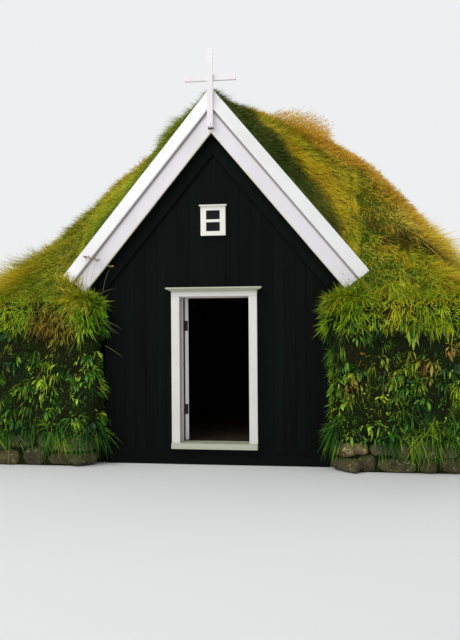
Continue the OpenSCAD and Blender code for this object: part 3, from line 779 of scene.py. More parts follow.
def dress(nodes: list[str], material: Material) -> None:
    """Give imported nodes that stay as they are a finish."""
    for node in nodes:
        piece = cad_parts[node]
        if not piece.material_slots:
            piece.data.materials.append(material)
        for place in piece.material_slots:
            place.material = material


@dataclass
class Boarding:
    """Upright tarred boards over the gables, cut under the roof and round the openings."""

    width: float = 0.122
    gap: float = 0.0005
    chamfer: float = 0.0012
    thickness: float = 0.028
    cup: float = 0.001
    under_roof: float = 0.0006
    uneven: float = 0.012
    seed: int = 11
    joint_x: float = 0.029
    sill_h: float = 0.178

    def edges(self, rng: Random, stops: list[float]) -> Array:
        """Return board edges that meet every stop, with boards of nearly the same width."""
        found = [np.array([stops[0]])]
        for a, b in zip(stops[:-1], stops[1:]):
            count = max(1, round((b - a) / self.width))
            steps = np.linspace(a, b, count + 1)[1:]
            steps[:-1] += rng.uniform(-self.uneven, self.uneven, count - 1)
            found.append(steps)
        return np.concatenate(found)

    def boards(self, left: Array, right: Array, low: Array, face_y: float, out: float,
               rng: Random, high: Array | None = None) -> Mesh:
        """Return boards between their edges.

        A board's plan is a rectangle with chamfered front corners and a face that bulges or
        sinks by the cup. Its top follows the roof line at each corner, or lies level.

        Args:
            left: (n,) left edges.
            right: (n,) right edges.
            low: (n,) heights of the feet.
            face_y: plane of the boards' faces.
            out: -1 where the face looks to -Y, 1 where it looks to +Y.
            rng: random numbers for the small differences.
            high: (n,) heights of level tops, or None for the roof line.

        Returns:
            The vertices, the faces and a tint for each vertex.
        """
        n = len(left)
        a, b, c = left + self.gap, right - self.gap, self.chamfer
        mid = (a + b) / 2
        sunk = rng.uniform(0, self.cup, n)
        face = face_y - out * sunk
        cup = rng.uniform(-self.cup, 0, n)
        back = np.full(n, face_y - out * self.thickness)
        x = np.stack([a, a, a + c, mid, b - c, b, b], axis=1)
        y = np.stack([back, face - out * c, face, face + out * cup, face, face - out * c, back], axis=1)
        if out > 0:
            x, y = x[:, ::-1], y[:, ::-1]
        roof = FORM.slope_z(x, FORM.board_n - self.under_roof)
        top = roof if high is None else np.minimum(roof, high[:, None])
        vertices, faces = prisms(stacked(x, y), np.broadcast_to(low[:, None], x.shape), top)
        corners = np.ones((1, 2 * x.shape[1]))
        shade = 1 + rng.uniform(-0.1, 0.1, (n, 1)) * corners
        green = 1 + rng.uniform(-0.04, 0.08, (n, 1)) * corners
        tint = stacked(shade, shade * green, shade * (1 + (green - 1) * 0.6))
        return vertices, faces, tint.reshape(-1, 3)

    def build(self, tar: Material) -> None:
        """Build the front and the rear boarding in place of their nodes."""
        rng = np.random.default_rng(self.seed)
        lo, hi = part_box("front_gable_wall")
        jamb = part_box("door_head_jamb")[1]
        win_lo, win_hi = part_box("window_frame")
        half, shell_x = hi.x, FORM.shell_x
        stops = [-half, -shell_x, -jamb.x, win_lo.x, self.joint_x, win_hi.x, jamb.x, shell_x, half]
        cuts = self.edges(rng, stops)
        left, right = cuts[:-1], cuts[1:]
        mid = np.abs((left + right) / 2)
        low = np.where(mid > shell_x, FORM.wall_top, np.where(mid < jamb.x, jamb.z, self.sill_h))
        at_window = mid < win_hi.x
        count = int(at_window.sum())
        parts = [
            self.boards(left[~at_window], right[~at_window], low[~at_window], lo.y, -1, rng),
            self.boards(left[at_window], right[at_window], low[at_window], lo.y, -1, rng,
                        np.full(count, win_lo.z)),
            self.boards(left[at_window], right[at_window], np.full(count, win_hi.z), lo.y, -1, rng),
        ]
        piece = self.joined("front_boarding", parts, tar)
        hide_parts("front_wall_left", "front_wall_right", "front_gable_wall")
        cuts = self.edges(rng, [-half, -shell_x, 0.0, shell_x, half])
        left, right = cuts[:-1], cuts[1:]
        low = np.where(np.abs((left + right) / 2) > shell_x, FORM.wall_top, self.sill_h)
        rear = self.boards(left, right, low, FORM.rear_y, 1, rng)
        piece = self.joined("rear_boarding", [rear], tar)
        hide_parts("rear_gable_wall")

    def joined(self, name: str, parts: list[Mesh], tar: Material) -> Piece:
        """Join sets of boards into one piece."""
        vertices, faces, tint = gathered(parts)
        return make_piece(name, vertices, faces, tar, "tarred_boards", tint=tint)


@dataclass
class Crown:
    """The moulding over the doorway: a cyma that flares to a thin flat cap."""

    cap: float = 0.014
    fillet: float = 0.004
    top_edge: float = 0.003
    fullness: float = 7.0
    steps: int = 12

    def build(self, paint: Material) -> None:
        """Build the moulding in place of its node.

        Its profile is out = flare (t - sin(2 pi t) / 7) over the height t of the cyma, then a
        fillet, the cap's edge and a top that slopes back. It is carried round three sides
        with mitred corners.
        """
        lo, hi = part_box("door_crown")
        casing_lo, casing_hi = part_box("door_casings")
        flare = casing_lo.y - lo.y
        t = np.linspace(0, 1, self.steps)
        cyma = (flare - 1.5 * self.fillet) * (t - np.sin(2 * np.pi * t) / self.fullness)
        out = np.concatenate([[0.0], cyma, [flare, flare, flare - self.fillet]])
        base, foot = hi.z - self.cap, lo.z + self.fillet
        z = np.concatenate([[lo.z], foot + (base - foot) * t, [base, hi.z - self.top_edge, hi.z]])
        x0, y0 = casing_hi.x, casing_lo.y
        wall = np.full_like(out, hi.y)
        corners = ((-x0 - out, wall), (-x0 - out, y0 - out), (x0 + out, y0 - out), (x0 + out, wall))
        rings = np.stack([stacked(x, y, z) for x, y in corners], axis=1)
        n = len(out)
        ends = np.arange(n) * 4
        back = np.concatenate([ends, ends[::-1] + 3])[None, ::-1]
        caps = np.array([[3, 2, 1, 0], [4 * n - 4, 4 * n - 3, 4 * n - 2, 4 * n - 1]])
        piece = make_piece("door_crown_moulding", rings.reshape(-1, 3),
                           [grid_faces(n, 4), back, caps], paint, "white_paint")
        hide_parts("door_crown")


@dataclass
class Panels:
    """The door's fielded panels: a raised middle with sloping margins."""

    margin: float = 0.035
    edge: float = 0.004
    raise_by: float = 0.008
    sink: float = 0.001

    def build(self, paint: Material) -> None:
        """Build a raised field on both faces of each panel of the leaf, in its swung place.

        The panels' own corners give the leaf's directions: the wider spread in plan runs along
        the leaf, and the narrower across it. A margin rises to the field as a straight slope.
        """
        points = np.array([v.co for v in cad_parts["door_panels"].data.vertices], float)
        leaf = np.array([v.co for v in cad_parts["door_leaf"].data.vertices], float)
        flat = leaf[:, :2] - leaf[:, :2].mean(0)
        vectors = np.linalg.eigh(flat.T @ flat)[1]
        along, across = np.append(vectors[:, 1], 0.0), np.append(vectors[:, 0], 0.0)
        s_cuts, z_cuts = (np.unique(np.round(v, 4)) for v in (points @ along, points[:, 2]))
        d = points @ across
        blocks = [self.field(s, z, depth, out, along, across)
                  for s in (s_cuts[:2], s_cuts[2:4]) for z in (z_cuts[:2], z_cuts[2:4])
                  for depth, out in ((d.min(), -1.0), (d.max(), 1.0))]
        quads = np.array([[0, 1, 5, 4], [1, 2, 6, 5], [2, 3, 7, 6], [3, 0, 4, 7], [4, 5, 6, 7],
                          [3, 2, 1, 0]])
        faces = []
        for k, block in enumerate(blocks):
            facing = np.cross(block[5] - block[4], block[7] - block[4])
            is_outward = facing @ (block[4:].mean(0) - block[:4].mean(0)) > 0
            faces.append((quads if is_outward else quads[:, ::-1]) + 8 * k)
        make_piece("door_raised_fields", np.concatenate(blocks), np.concatenate(faces),
                   paint, "white_paint", DOOR)

    def field(self, s: Array, z: Array, depth: float, out: float, along: Array, across: Array) -> Array:
        """Return the eight corners of one raised field, its base first.

        Args:
            s: the panel's ends along the leaf.
            z: its foot and top.
            depth: place of its face across the leaf.
            out: direction across the leaf in which the field rises.
            along: direction along the leaf.
            across: direction across it.
        """
        corners = []
        for inset, lift in ((self.edge, -self.sink), (self.margin, self.raise_by)):
            for a, b in ((s[0] + inset, z[0] + inset), (s[1] - inset, z[0] + inset),
                         (s[1] - inset, z[1] - inset), (s[0] + inset, z[1] - inset)):
                corners.append(along * a + across * (depth + out * lift) + [0, 0, b])
        return np.array(corners)


@dataclass
class Patch:
    """Places where growth roots: the surface's points, its normals and how it is combed."""

    place: Array
    normal: Array
    comb: Array

    def __len__(self) -> int:
        """Return the number of places."""
        return len(self.place)

    @property
    def x(self) -> Array:
        """The places' x."""
        return self.place[:, 0]

    @property
    def y(self) -> Array:
        """The places' y."""
        return self.place[:, 1]

    @property
    def z(self) -> Array:
        """The places' z."""
        return self.place[:, 2]

    def only(self, keep: Array) -> Patch:
        """Return the places that keep picks out."""
        return Patch(self.place[keep], self.normal[keep], self.comb[keep])


@dataclass
class Outline:
    """The turf walls' outer faces as one path in plan, from one lobe round to the other."""

    step: float = 0.03
    inset: float = 0.0
    lobe_inset: float = 0.0
    start_behind: float = 0.012

    def arc(self, cx: float, cy: float, r: float, a: float, b: float) -> Array:
        """Return points on an arc between two angles in degrees."""
        count = max(3, int(abs(math.radians(b - a)) * r / self.step))
        t = np.radians(np.linspace(a, b, count + 1))
        return stacked(cx + r * np.cos(t), cy + r * np.sin(t))

    def path(self) -> tuple[Array, Array, Array]:
        """Return evenly spaced points, their outward normals and their lengths from the start.

        The path runs counter-clockwise from the right lobe's inner face round the rear to the
        left lobe. Its right half is arcs joined by straight lines, and the left mirrors it.
        """
        i, r, lobe = self.inset, FORM.corner_r, FORM.lobe_r
        fx, fy, lx = FORM.foot_x - i, FORM.foot_y - i, FORM.lobe_x + self.lobe_inset
        half = np.concatenate([
            [[lx, FORM.front_y + self.start_behind]],
            self.arc(lx + lobe, -fy + lobe, lobe, 180, 270),
            self.arc(fx - r, -fy + r, r, -90, 0),
            self.arc(fx - r, fy - r, r, 0, 90),
            [[0.0, fy]],
        ])
        whole = np.concatenate([half, half[::-1][1:] * [-1.0, 1.0]])
        run = np.concatenate([[0], np.cumsum(np.linalg.norm(np.diff(whole, axis=0), axis=1))])
        lengths = np.linspace(0, run[-1], int(run[-1] / self.step))
        points = at_lengths(lengths, run, whole)
        tangent = unit(np.gradient(points, axis=0))
        return points, stacked(tangent[:, 1], -tangent[:, 0]), lengths


@dataclass
class Footing:
    """Rough field stones in two courses before a dark core, one of them paler and warmer."""

    course: float = 0.16
    mean_width: float = 0.26
    depth: float = 0.2
    stagger: float = 0.07
    squareness: float = 0.6
    roughness: float = 0.24
    rows: int = 9
    columns: int = 12
    path_step: float = 0.01
    core_step: float = 0.08
    core_inset: float = 0.06
    core_out: float = 0.02
    core_drop: float = 0.002
    bare_shade: float = 1.75
    bare_warmth: float = 0.1
    seed: int = 5

    def stone(self, centre: Array, tangent: Array, normal: Array, size: Array, seed: int) -> Array:
        """Return the points of one rounded stone.

        A point is sign(c)|c|^k of a sphere's direction c for each axis, stretched to the
        stone's size and pushed out or in by noise.

        Args:
            centre: the stone's middle.
            tangent: its direction along the wall.
            normal: its direction out of the wall.
            size: width, depth and height.
            seed: picks the noise.
        """
        v = np.linspace(-np.pi / 2, np.pi / 2, self.rows)
        u = np.linspace(-np.pi, np.pi, self.columns, endpoint=False)
        vv, uu = np.meshgrid(v, u, indexing="ij")
        ball = stacked(np.cos(vv) * np.cos(uu), np.cos(vv) * np.sin(uu), np.sin(vv))
        box = np.sign(ball) * np.abs(ball) ** self.squareness
        flat = box.reshape(-1, 3) * size / 2
        flat *= 1 + self.roughness * fractal(flat + seed * 3.1, 0.11, seed, 2)[:, None]
        return centre + flat[:, :1] * tangent + flat[:, 1:2] * normal + flat[:, 2:] * [0, 0, 1]

    def build(self, stone: Material, earth: Material) -> None:
        """Build the stones and the core in place of the footing's node."""
        rng = np.random.default_rng(self.seed)
        points, normals, lengths = Outline(self.path_step, lobe_inset=FORM.footing_step).path()
        vertices, tints, faces = [], [], []
        ring = self.rows * self.columns
        grid = grid_faces(self.rows, self.columns, closed=True)
        for row in range(2):
            s = rng.uniform(0.02, 0.1)
            while s < lengths[-1] - 0.1:
                width = self.mean_width * rng.uniform(0.6, 1.45) * (1.15 - 0.3 * row)
                middle = min(s + width / 2, lengths[-1] - 0.02)
                k = int(np.searchsorted(lengths, middle))
                normal = np.append(normals[k], 0.0)
                tangent = np.array([-normal[1], normal[0], 0.0])
                at = np.append(points[k], 0.0)
                joint = self.course + self.stagger * float(value_noise(at[None], 0.4, 9)[0])
                low, high = (0.0, joint) if row == 0 else (joint, FORM.footing_h)
                depth = self.depth * rng.uniform(0.9, 1.1)
                centre = at + [0, 0, (low + high) / 2]
                centre -= normal * (depth / 2 + rng.uniform(0.004, 0.03))
                size = np.array([width * 1.02, depth, (high - low) * rng.uniform(0.98, 1.1)])
                block = self.stone(centre, tangent, normal, size, int(s * 100) + 7 * row)
                block[:, 2] = np.maximum(block[:, 2], 0.0)
                faces.append(grid + len(vertices) * ring)
                vertices.append(block)
                shade = rng.uniform(0.6, 1.1)
                warm = rng.uniform(-0.06, 0.08)
                if row and FORM.is_bare(at[0], normal[1] < -0.5):
                    shade, warm = self.bare_shade, self.bare_warmth
                tints.append(np.tile([shade * (1 + warm), shade, shade * (1 - warm)], (ring, 1)))
                s += width
        piece = make_piece("footing_stones", np.concatenate(vertices), np.concatenate(faces), stone,
                           "footing_stone", tint=np.concatenate(tints), is_smooth=True)
        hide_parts("stone_footing")
        self.core(earth)

    def core(self, earth: Material) -> None:
        """Build the dark earth core behind the stones: the footing's plan, drawn in."""
        lobe_inset = self.core_inset + FORM.footing_step
        points = Outline(self.core_step, self.core_inset, lobe_inset).path()[0]
        x, rear = FORM.turf_x + self.core_out, FORM.rear_y + self.core_out
        front = FORM.front_y + Outline.start_behind
        inner = np.array([[-x, front], [-x, rear], [x, rear], [x, front]])
        plan = np.concatenate([points, inner])[None]
        low = np.zeros(plan.shape[:2])
        core = prisms(plan, low, low + FORM.footing_h - self.core_drop)
        make_piece("footing_core", *core, earth, "wall_turf")


@dataclass
class TurfFaces:
    """Courses of cut turf on the walls' outer faces, slumped, with a rounded lip at the top.

    The groove, the joint, the lumps and the hollow under the lip are shares of out. The
    groove's width is a share of a course, and the joint's width, the stagger from course to
    course and the wander of the joints are shares of a block.
    """

    course: float = 0.13
    block: float = 0.38
    stagger: float = 0.43
    wander: float = 0.25
    groove_w: float = 0.22
    joint_w: float = 0.1
    out: float = 0.032
    groove: float = 0.6
    joint: float = 0.35
    lump: float = 0.6
    fine: float = 0.35
    hollow: float = 0.8
    proud: float = 0.012
    back: float = 0.05
    lip_in: float = 0.13
    lip_out: float = 0.035
    lip_drop: float = 0.08
    lip_rise: float = 0.07
    gap_z: float = 1.36
    step: float = 0.04
    rows: int = 40
    seed: int = 21

    def __post_init__(self) -> None:
        """Work out the path and the profile's two lengths."""
        self.points, self.normals, self.lengths = Outline(self.step, FORM.footing_step).path()
        self.face_l = FORM.wall_top - self.lip_drop - FORM.footing_h
        self.lip_l = 0.5 * math.pi * 0.5 * (self.lip_in + self.lip_out + self.lip_drop + self.lip_rise)
        self.reach = self.face_l + self.lip_l

    def surface(self, s: Array, v: Array) -> Patch:
        """Return the smooth face at lengths s along the path and v up the profile.

        The profile leans in by the batter, except on the lobes' inner faces, swells towards the
        top by a soft step, and ends in a quarter ellipse that turns in over the wall's edge.

        Args:
            s: lengths along the path.
            v: lengths up the profile.

        Returns:
            The places with their outward normals, combed down the profile.
        """
        n = unit(at_lengths(s, self.lengths, self.normals))
        foot = at_lengths(s, self.lengths, self.points)
        a = np.clip((v - self.face_l) / self.lip_l, 0, 1) * np.pi / 2
        on_face = v < self.face_l
        wide, high = self.lip_in + self.lip_out, self.lip_drop + self.lip_rise
        z = np.where(on_face, FORM.footing_h + v, FORM.wall_top - self.lip_drop + high * np.sin(a))
        swell = self.lip_out * smooth((z - FORM.wall_top + 0.55) / 0.4)
        out = np.where(on_face, swell, -self.lip_in + wide * np.cos(a))
        lean = FORM.batter * (np.minimum(z, FORM.wall_top) - FORM.footing_h)
        inward = np.clip(-n[:, 0] * np.sign(foot[:, 0]), 0, 1) * (foot[:, 1] < 0)
        x = foot[:, 0] + n[:, 0] * (out - lean * (1 - inward))
        y = foot[:, 1] + n[:, 1] * (out - lean)
        side, up = unit(stacked(np.cos(a) / wide, np.sin(a) / high)).T
        ahead, down = unit(stacked(np.sin(a) * wide, -np.cos(a) * high)).T
        return Patch(stacked(x, y, z), stacked(n[:, 0] * side, n[:, 1] * side, up),
                     stacked(n[:, 0] * ahead, n[:, 1] * ahead, down))

    def relief(self, s: Array, v: Array, place: Array) -> Array:
        """Return how far the face stands out: rounded blocks in courses, humps and hollows.

        A hollow runs under the lip where the growth hangs over it.

        Args:
            s: lengths along the path.
            v: lengths up the profile.
            place: (n, 3) places on the smooth face.
        """
        row = np.floor(v / self.course)
        f = v / self.course - row
        g = s / self.block + row * self.stagger + value_noise(place, 0.9, 3) * self.wander
        g = g - np.floor(g)
        groove = (1 - smooth(np.minimum(f, 1 - f) / self.groove_w)) * self.groove
        joint = (1 - smooth(np.minimum(g, 1 - g) / self.joint_w)) * self.joint
        hollow = bell(place[:, 2], self.gap_z, 0.13) * (1.1 + value_noise(place, 0.5, 8))
        lumps = self.lump * fractal(place, 0.3, self.seed, 3)
        fine = self.fine * fractal(place, 0.07, self.seed + 5, 2)
        humps = FORM.hump(*place.T) * (1 - past(place[:, 1], FORM.berm_y, 0.05))
        return humps + self.out * (lumps + fine - groove - joint - self.hollow * hollow)

    def grown(self, s: Array, v: Array) -> Patch:
        """Return places on the displaced surface."""
        patch = self.surface(s, v)
        out = self.proud + self.relief(s, v, patch.place)
        patch.place = patch.place + patch.normal * out[:, None]
        return patch

    def build(self, sod: Material) -> None:
        """Build the displaced faces over the walls' nodes."""
        v = np.linspace(-0.01, self.reach, self.rows)
        vv, ss = np.meshgrid(v, self.lengths, indexing="ij")
        patch = self.grown(ss.ravel(), vv.ravel())
        top = patch.place.reshape(*ss.shape, 3)
        back = (patch.place - patch.normal * self.back).reshape(*ss.shape, 3)
        piece = make_piece("turf_faces", *closed_sheet(top, back), sod, "wall_turf", is_smooth=True)
        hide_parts("turf_wall_left", "turf_wall_right", "turf_wall_rear")


@dataclass(frozen=True)
class Crease:
    """A slumped fold across the right slope, where the turf behind it stands a little higher.

    It has two points in plan, the run of the turf's sinking before it, the width of its steep
    face, the depth of its gap, the lift behind it and how far it winds.
    """

    start: Pair = (1.68, -1.97)
    end: Pair = (2.72, -1.84)
    run: float = 0.24
    width: float = 0.045
    depth: float = 0.065
    lift: float = 0.05
    winding: float = 0.04

    def beyond(self, x: Array, y: Array) -> tuple[Array, Array]:
        """Return how far a place lies behind the fold's line, and its share along the line."""
        a, b = np.array(self.start), np.array(self.end)
        run = b - a
        t = ((x - a[0]) * run[0] + (y - a[1]) * run[1]) / (run @ run)
        d = ((y - a[1]) * run[0] - (x - a[0]) * run[1]) / np.linalg.norm(run)
        return d + self.wave(t), t

    def wave(self, t: Array) -> Array:
        """Return how far the fold winds before its line at a share along it."""
        return self.winding * np.sin(7 * t)

    def fade(self, t: Array) -> Array:
        """Return from 0 to 1 how strong the fold is at a share along its line."""
        return past(t, -0.1, 0.2) * past(1.1, t, 0.2)

    def near(self, x: Array, y: Array) -> Array:
        """Return from 0 to 1 how near a place is to the fold's steep face.

        It is exp(-((d - width / 2) / width)^2) of the distance d behind the winding line, and
        fades at the ends.
        """
        d, t = self.beyond(x, y)
        return bell(d, self.width / 2, self.width) * self.fade(t)

    def rise(self, x: Array, y: Array) -> Array:
        """Return the height to add: the lift behind the fold, less the depth of its gap.

        The lift is smooth(d / width) and fades out a metre and a half behind the line; the gap
        is depth smooth(1 + d / run) before the line.
        """
        d, t = self.beyond(x, y)
        ends = past(t, -0.2, 0.4) * past(1.3, t, 0.4)
        step = smooth(d / self.width)
        behind = self.lift * step * past(1.6, d, 1.2)
        before = self.depth * smooth(1 + d / self.run) * (1 - step)
        return (behind - before) * ends * (x > 0)


@dataclass
class RoofSod:
    """The turf's own surface over the roof and the walls' level tops, under the grass."""

    columns: int = 40
    rows: int = 96
    rear_columns: int = 40
    ledge_rows: int = 14
    lobe_columns: int = 12
    ledge_depth: float = 0.06
    clump_lift: float = 0.024
    fine_lift: float = 0.008
    min_depth: float = 0.02
    steepest: Pair = (2.2, 1.6)
    crease: Crease = Crease()
    seed: int = 31

    def lumps(self, points: Array) -> Array:
        """Return the lift of clumps and slumped edges over the smooth turf."""
        return (self.clump_lift * fractal(points, 0.42, self.seed, 3)
                + self.fine_lift * fractal(points, 0.08, 4, 2))

    def height(self, x: Array, y: Array) -> Array:
        """Return the height of the lumpy turf."""
        z = FORM.turf_z(x, y)
        z = z + self.lumps(stacked(x, y, z))
        return z + self.crease.rise(x, y)

    def sheet(self, side: float, x0: Array, x1: Array, y: Array,
              floor: float | None) -> tuple[Array, Array]:
        """Return a closed sheet of turf between two edges.

        Args:
            side: 1 for the right, -1 for the left.
            x0: (rows,) inner edges.
            x1: (rows,) outer edges.
            y: (rows,) places along the house.
            floor: level underside, or None for the roof boards.
        """
        t = np.linspace(0, 1, self.columns)
        x = mix(x0[:, None], x1[:, None], t[None, :])
        yy = np.broadcast_to(y[:, None], x.shape)
        under = FORM.slope_z(x, FORM.turf_n) if floor is None else np.full(x.shape, floor)
        z = self.height(side * x.ravel(), yy.ravel()).reshape(x.shape)
        top = stacked(side * x, yy, np.maximum(z, under + self.min_depth))
        bottom = stacked(side * x, yy, under)
        if side > 0:
            top, bottom = top.transpose(1, 0, 2), bottom.transpose(1, 0, 2)
        return closed_sheet(top, bottom)

    def patch(self, x: Array, y: Array) -> Patch:
        """Return places on the turf, its normals and the direction of its steepest fall.

        The slopes across and along the house are held to the steepest ones. Beside the verge
        the fall turns along the bargeboard, so that no blade hangs over it.
        """
        e = 0.02
        z = self.height(x, y)
        most_x, most_y = self.steepest
        dx = np.clip((FORM.turf_z(x + e, y) - FORM.turf_z(x - e, y)) / (2 * e), -most_x, most_x)
        dy = np.clip((FORM.turf_z(x, y + e) - FORM.turf_z(x, y - e)) / (2 * e), -most_y, most_y)
        normal = unit(stacked(-dx, -dy, np.ones_like(x)))
        is_over_board = np.abs(x) < FORM.eave_x - 0.12
        beside = mix(0.05, 1.0, past(FORM.behind_verge(y), 0.05, 0.7))
        turn = np.where(is_over_board, beside, 1.0)
        down = -(dx**2 + (dy * turn) ** 2)
        fall = unit(stacked(-dx, -dy * turn, down) + 1e-6)
        return Patch(stacked(x, y, z), normal, fall)

    def ledge_patch(self, x: Array, t: Array, is_rear: bool) -> Patch:
        """Return places on a wall's top before a gable, falling in a quarter round to its edge.

        The place at share t is gable + (edge - gable) sin(a) out and rise cos(a) up, with
        a = t pi / 2. The lobes' tops also round down towards the doorway.

        Args:
            x: places across the front.
            t: shares of the way from the gable to the edge.
            is_rear: whether it is the rear wall.
        """
        a = t * np.pi / 2
        gable, edge, rise = FORM.front_y, -FORM.berm_y, FORM.lobe_bank
        if is_rear:
            gable, edge, rise = FORM.rear_y, FORM.berm_y, FORM.rear_wall_top - FORM.wall_top
        high = mix(FORM.edge_turf, rise, np.cos(a))
        if not is_rear:
            high = high * smooth((np.abs(x) - FORM.lobe_x + 0.03) / 0.16)
        place = stacked(x, mix(gable, edge, np.sin(a)), FORM.wall_top + high)
        place[:, 2] += self.lumps(place)
        out = np.sign(edge - gable)
        normal = unit(stacked(0 * x, np.sin(a) * 0.5 * out, np.ones_like(x)))
        return Patch(place, normal, np.tile([0.0, 0.98 * out, -0.2], (len(x), 1)))

    def ledge(self, name: str, x0: float, x1: float, columns: int, is_rear: bool,
              sod: Material) -> None:
        """Build the turf on a wall's level top between two places along the gable."""
        x = np.linspace(x0, x1, columns)
        t = np.linspace(0, 0.95, self.ledge_rows)
        tt, xx = np.meshgrid(t, x, indexing="ij")
        top = self.ledge_patch(xx.ravel(), tt.ravel(), is_rear).place.reshape(*xx.shape, 3)
        sheet = closed_sheet(top, top - [0, 0, self.ledge_depth])
        make_piece(name, *sheet, sod, "wall_turf", is_smooth=True)

    def build(self, sod: Material) -> None:
        """Build the turf of both slopes and both eaves in place of their nodes."""
        roof_y = np.linspace(FORM.verge_front, FORM.verge_rear, self.rows)
        eaves_y = np.linspace(-FORM.berm_y, FORM.berm_y, self.rows)
        eave = np.full(self.rows, FORM.eave_x)
        for side, word in SIDES:
            sheets = (("roof_sod", "turf_roof", 0 * eave, eave, roof_y, None),
                      ("eaves_sod", "eaves_turf", eave, FORM.edge_x(eaves_y), eaves_y,
                       FORM.wall_top))
            for name, node, x0, x1, y, floor in sheets:
                sheet = self.sheet(side, x0, x1, y, floor)
                piece = make_piece(f"{name}_{word}", *sheet, sod, "roof_turf", is_smooth=True)
                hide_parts(f"{node}_{word}")
        self.ledge("rear_ledge_sod", -FORM.eave_x, FORM.eave_x, self.rear_columns, True, sod)
        for side, word in SIDES:
            ends = sorted((side * FORM.eave_x, side * (FORM.lobe_x - 0.02)))
            self.ledge(f"lobe_sod_{word}", *ends, self.lobe_columns, False, sod)


class Kind(Enum):
    """Outline of a blade: its stations from root to tip as (share of length, share of width)."""

    AWN = ((0.0, 1.0), (1.0, 0.0))
    STEM = ((0.0, 1.0), (0.35, 0.9), (0.7, 0.7), (1.0, 0.0))
    GRASS = ((0.0, 0.8), (0.5, 0.9), (1.0, 0.0))
    LEAF = ((0.0, 0.15), (0.3, 0.85), (0.65, 1.0), (1.0, 0.0))


@dataclass(frozen=True)
class Habit:
    """How one kind of growth stands: its clump, its blades' size and how they bend."""

    per_clump: int
    radius: float
    length: float
    width: float
    stand: float
    fan: float
    lean: float = 0.4
    tousle: float = 0.3
    sway: float = 0.3
    bend: float = 0.5
    # shade: share of the tip's colour that the roots take, painted shade inside the clump.
    shade: float = 0.45
    face_out: float = 0.8
    kind: Kind = Kind.GRASS


@dataclass
class Tuft:
    """Blades of one kind as whole arrays: their roots, how they grow and their colours."""

    roots: Array
    grow: Array
    droop: Array
    look: Array
    length: Array
    width: Array
    base: Array
    tip: Array
    kind: Kind = Kind.AWN

    def mesh(self) -> Mesh:
        """Return the blades' vertices, faces and tints.

        A blade's middle line is root + length (t grow + t^2 droop), and its width lies square
        to its growth and to the direction that it looks to.
        """
        side = unit(np.cross(self.grow, self.look))
        points, colours = [], []
        for t, w in self.kind.value:
            line = self.roots + self.length[:, None] * (t * self.grow + t * t * self.droop)
            half = side * (self.width * w / 2)[:, None]
            shade = mix(self.base, self.tip, t)
            if w > 0:
                points += [line - half, line + half]
                colours += [shade, shade]
            else:
                points.append(line)
                colours.append(shade)
        count = len(points)
        start = (np.arange(len(self.roots)) * count)[:, None]
        faces = [start + np.array([2 * k, 2 * k + 1, 2 * k + 3, 2 * k + 2])
                 for k in range(len(self.kind.value) - 2)]
        faces.append(start + np.array([count - 3, count - 2, count - 1]))
        return np.stack(points, 1).reshape(-1, 3), faces, np.stack(colours, 1).reshape(-1, 3)


def joined(tufts: list[Tuft]) -> Tuft:
    """Return one tuft that holds the blades of several of the same kind."""
    names = [f.name for f in fields(Tuft)][:-1]
    return Tuft(*(np.concatenate([getattr(t, name) for t in tufts]) for name in names), tufts[0].kind)


@dataclass
class Meadow:
    """Collects tufts under a piece's name and makes them one mesh."""

    finish: Material
    allowance: float = 0.075
    top: float = 4.5

    def make(self, name: str, slot: str, *tufts: Tuft) -> None:
        """Make the tufts one piece, held inside the house's box and its allowance."""
        vertices, faces, tint = gathered([tuft.mesh() for tuft in tufts])
        reach = np.array([FORM.foot_x, FORM.foot_y]) + self.allowance
        low, high = np.append(-reach, 0.004), np.append(reach, self.top)
        make_piece(name, np.clip(vertices, low, high), faces, self.finish, slot,
                   tint=np.clip(tint, 0.0, 0.9))


def spread_evenly(count: int, seed: int) -> tuple[Array, Array]:
    """Return pairs from 0 to 1 that fill the square evenly.

    The k-th pair is the fractional part of k (1/g, 1/g^2) for g = 1.3247, the plastic number.
    """
    k = np.arange(count) + 0.5 + seed * 977
    return (k * 0.7548776662) % 1.0, (k * 0.5698402910) % 1.0


def clumps(patch: Patch, habit: Habit, colour: Array, rng: Random, size: Array | None = None) -> Tuft:
    """Return clumps of blades that fan out from the places of a patch.

    A blade roots at a chance offset d in the surface's plane and grows along
    stand normal + lean comb + fan d + sway and tousle, which are chance directions of the clump
    and of the blade, then bends down and on along the comb.

    Args:
        patch: the clumps' places.
        habit: how the blades stand.
        colour: (n, 3) colour of each clump.
        rng: random numbers.
        size: (n,) factor on each clump's length, or None.

    Returns:
        The blades, clump by clump.
    """
    n, k = len(patch), habit.per_clump
    normal, comb = patch.normal[:, None], patch.comb[:, None]
    offset = rng.normal(0, 1, (n, k, 3))
    offset = offset - (offset * normal).sum(-1, keepdims=True) * normal
    roots = patch.place[:, None] + habit.radius * offset * 0.6 - 0.01 * normal
    grow = unit(habit.stand * normal + habit.lean * comb + habit.fan * offset * 0.6
                + rng.normal(0, habit.sway, (n, 1, 3)) + rng.normal(0, habit.tousle, (n, k, 3)))
    down = np.array([0.0, 0.0, -1.0])
    droop = habit.bend * rng.uniform(0.6, 1.3, (n, k, 1)) * (0.65 * down + 0.35 * comb)
    look = habit.face_out * normal + rng.normal(0, 0.5, (n, k, 3))
    factor = np.ones(n) if size is None else size
    length = habit.length * factor[:, None] * rng.uniform(0.55, 1.2, (n, k))
    width = habit.width * rng.uniform(0.7, 1.3, (n, k))
    hue = 1 + rng.normal(0, 0.07, (n, k, 1)) * np.array([1.0, 0.0, -1.0])
    tip = colour[:, None] * hue * rng.uniform(0.75, 1.3, (n, k, 1))
    vectors = (v.reshape(-1, 3) for v in (roots, grow, droop, look))
    # The roots take the tip's colour times the habit's shade: painted shade inside the clump.
    return Tuft(*vectors, length.ravel(), width.ravel(), (tip * habit.shade).reshape(-1, 3),
                tip.reshape(-1, 3), habit.kind)


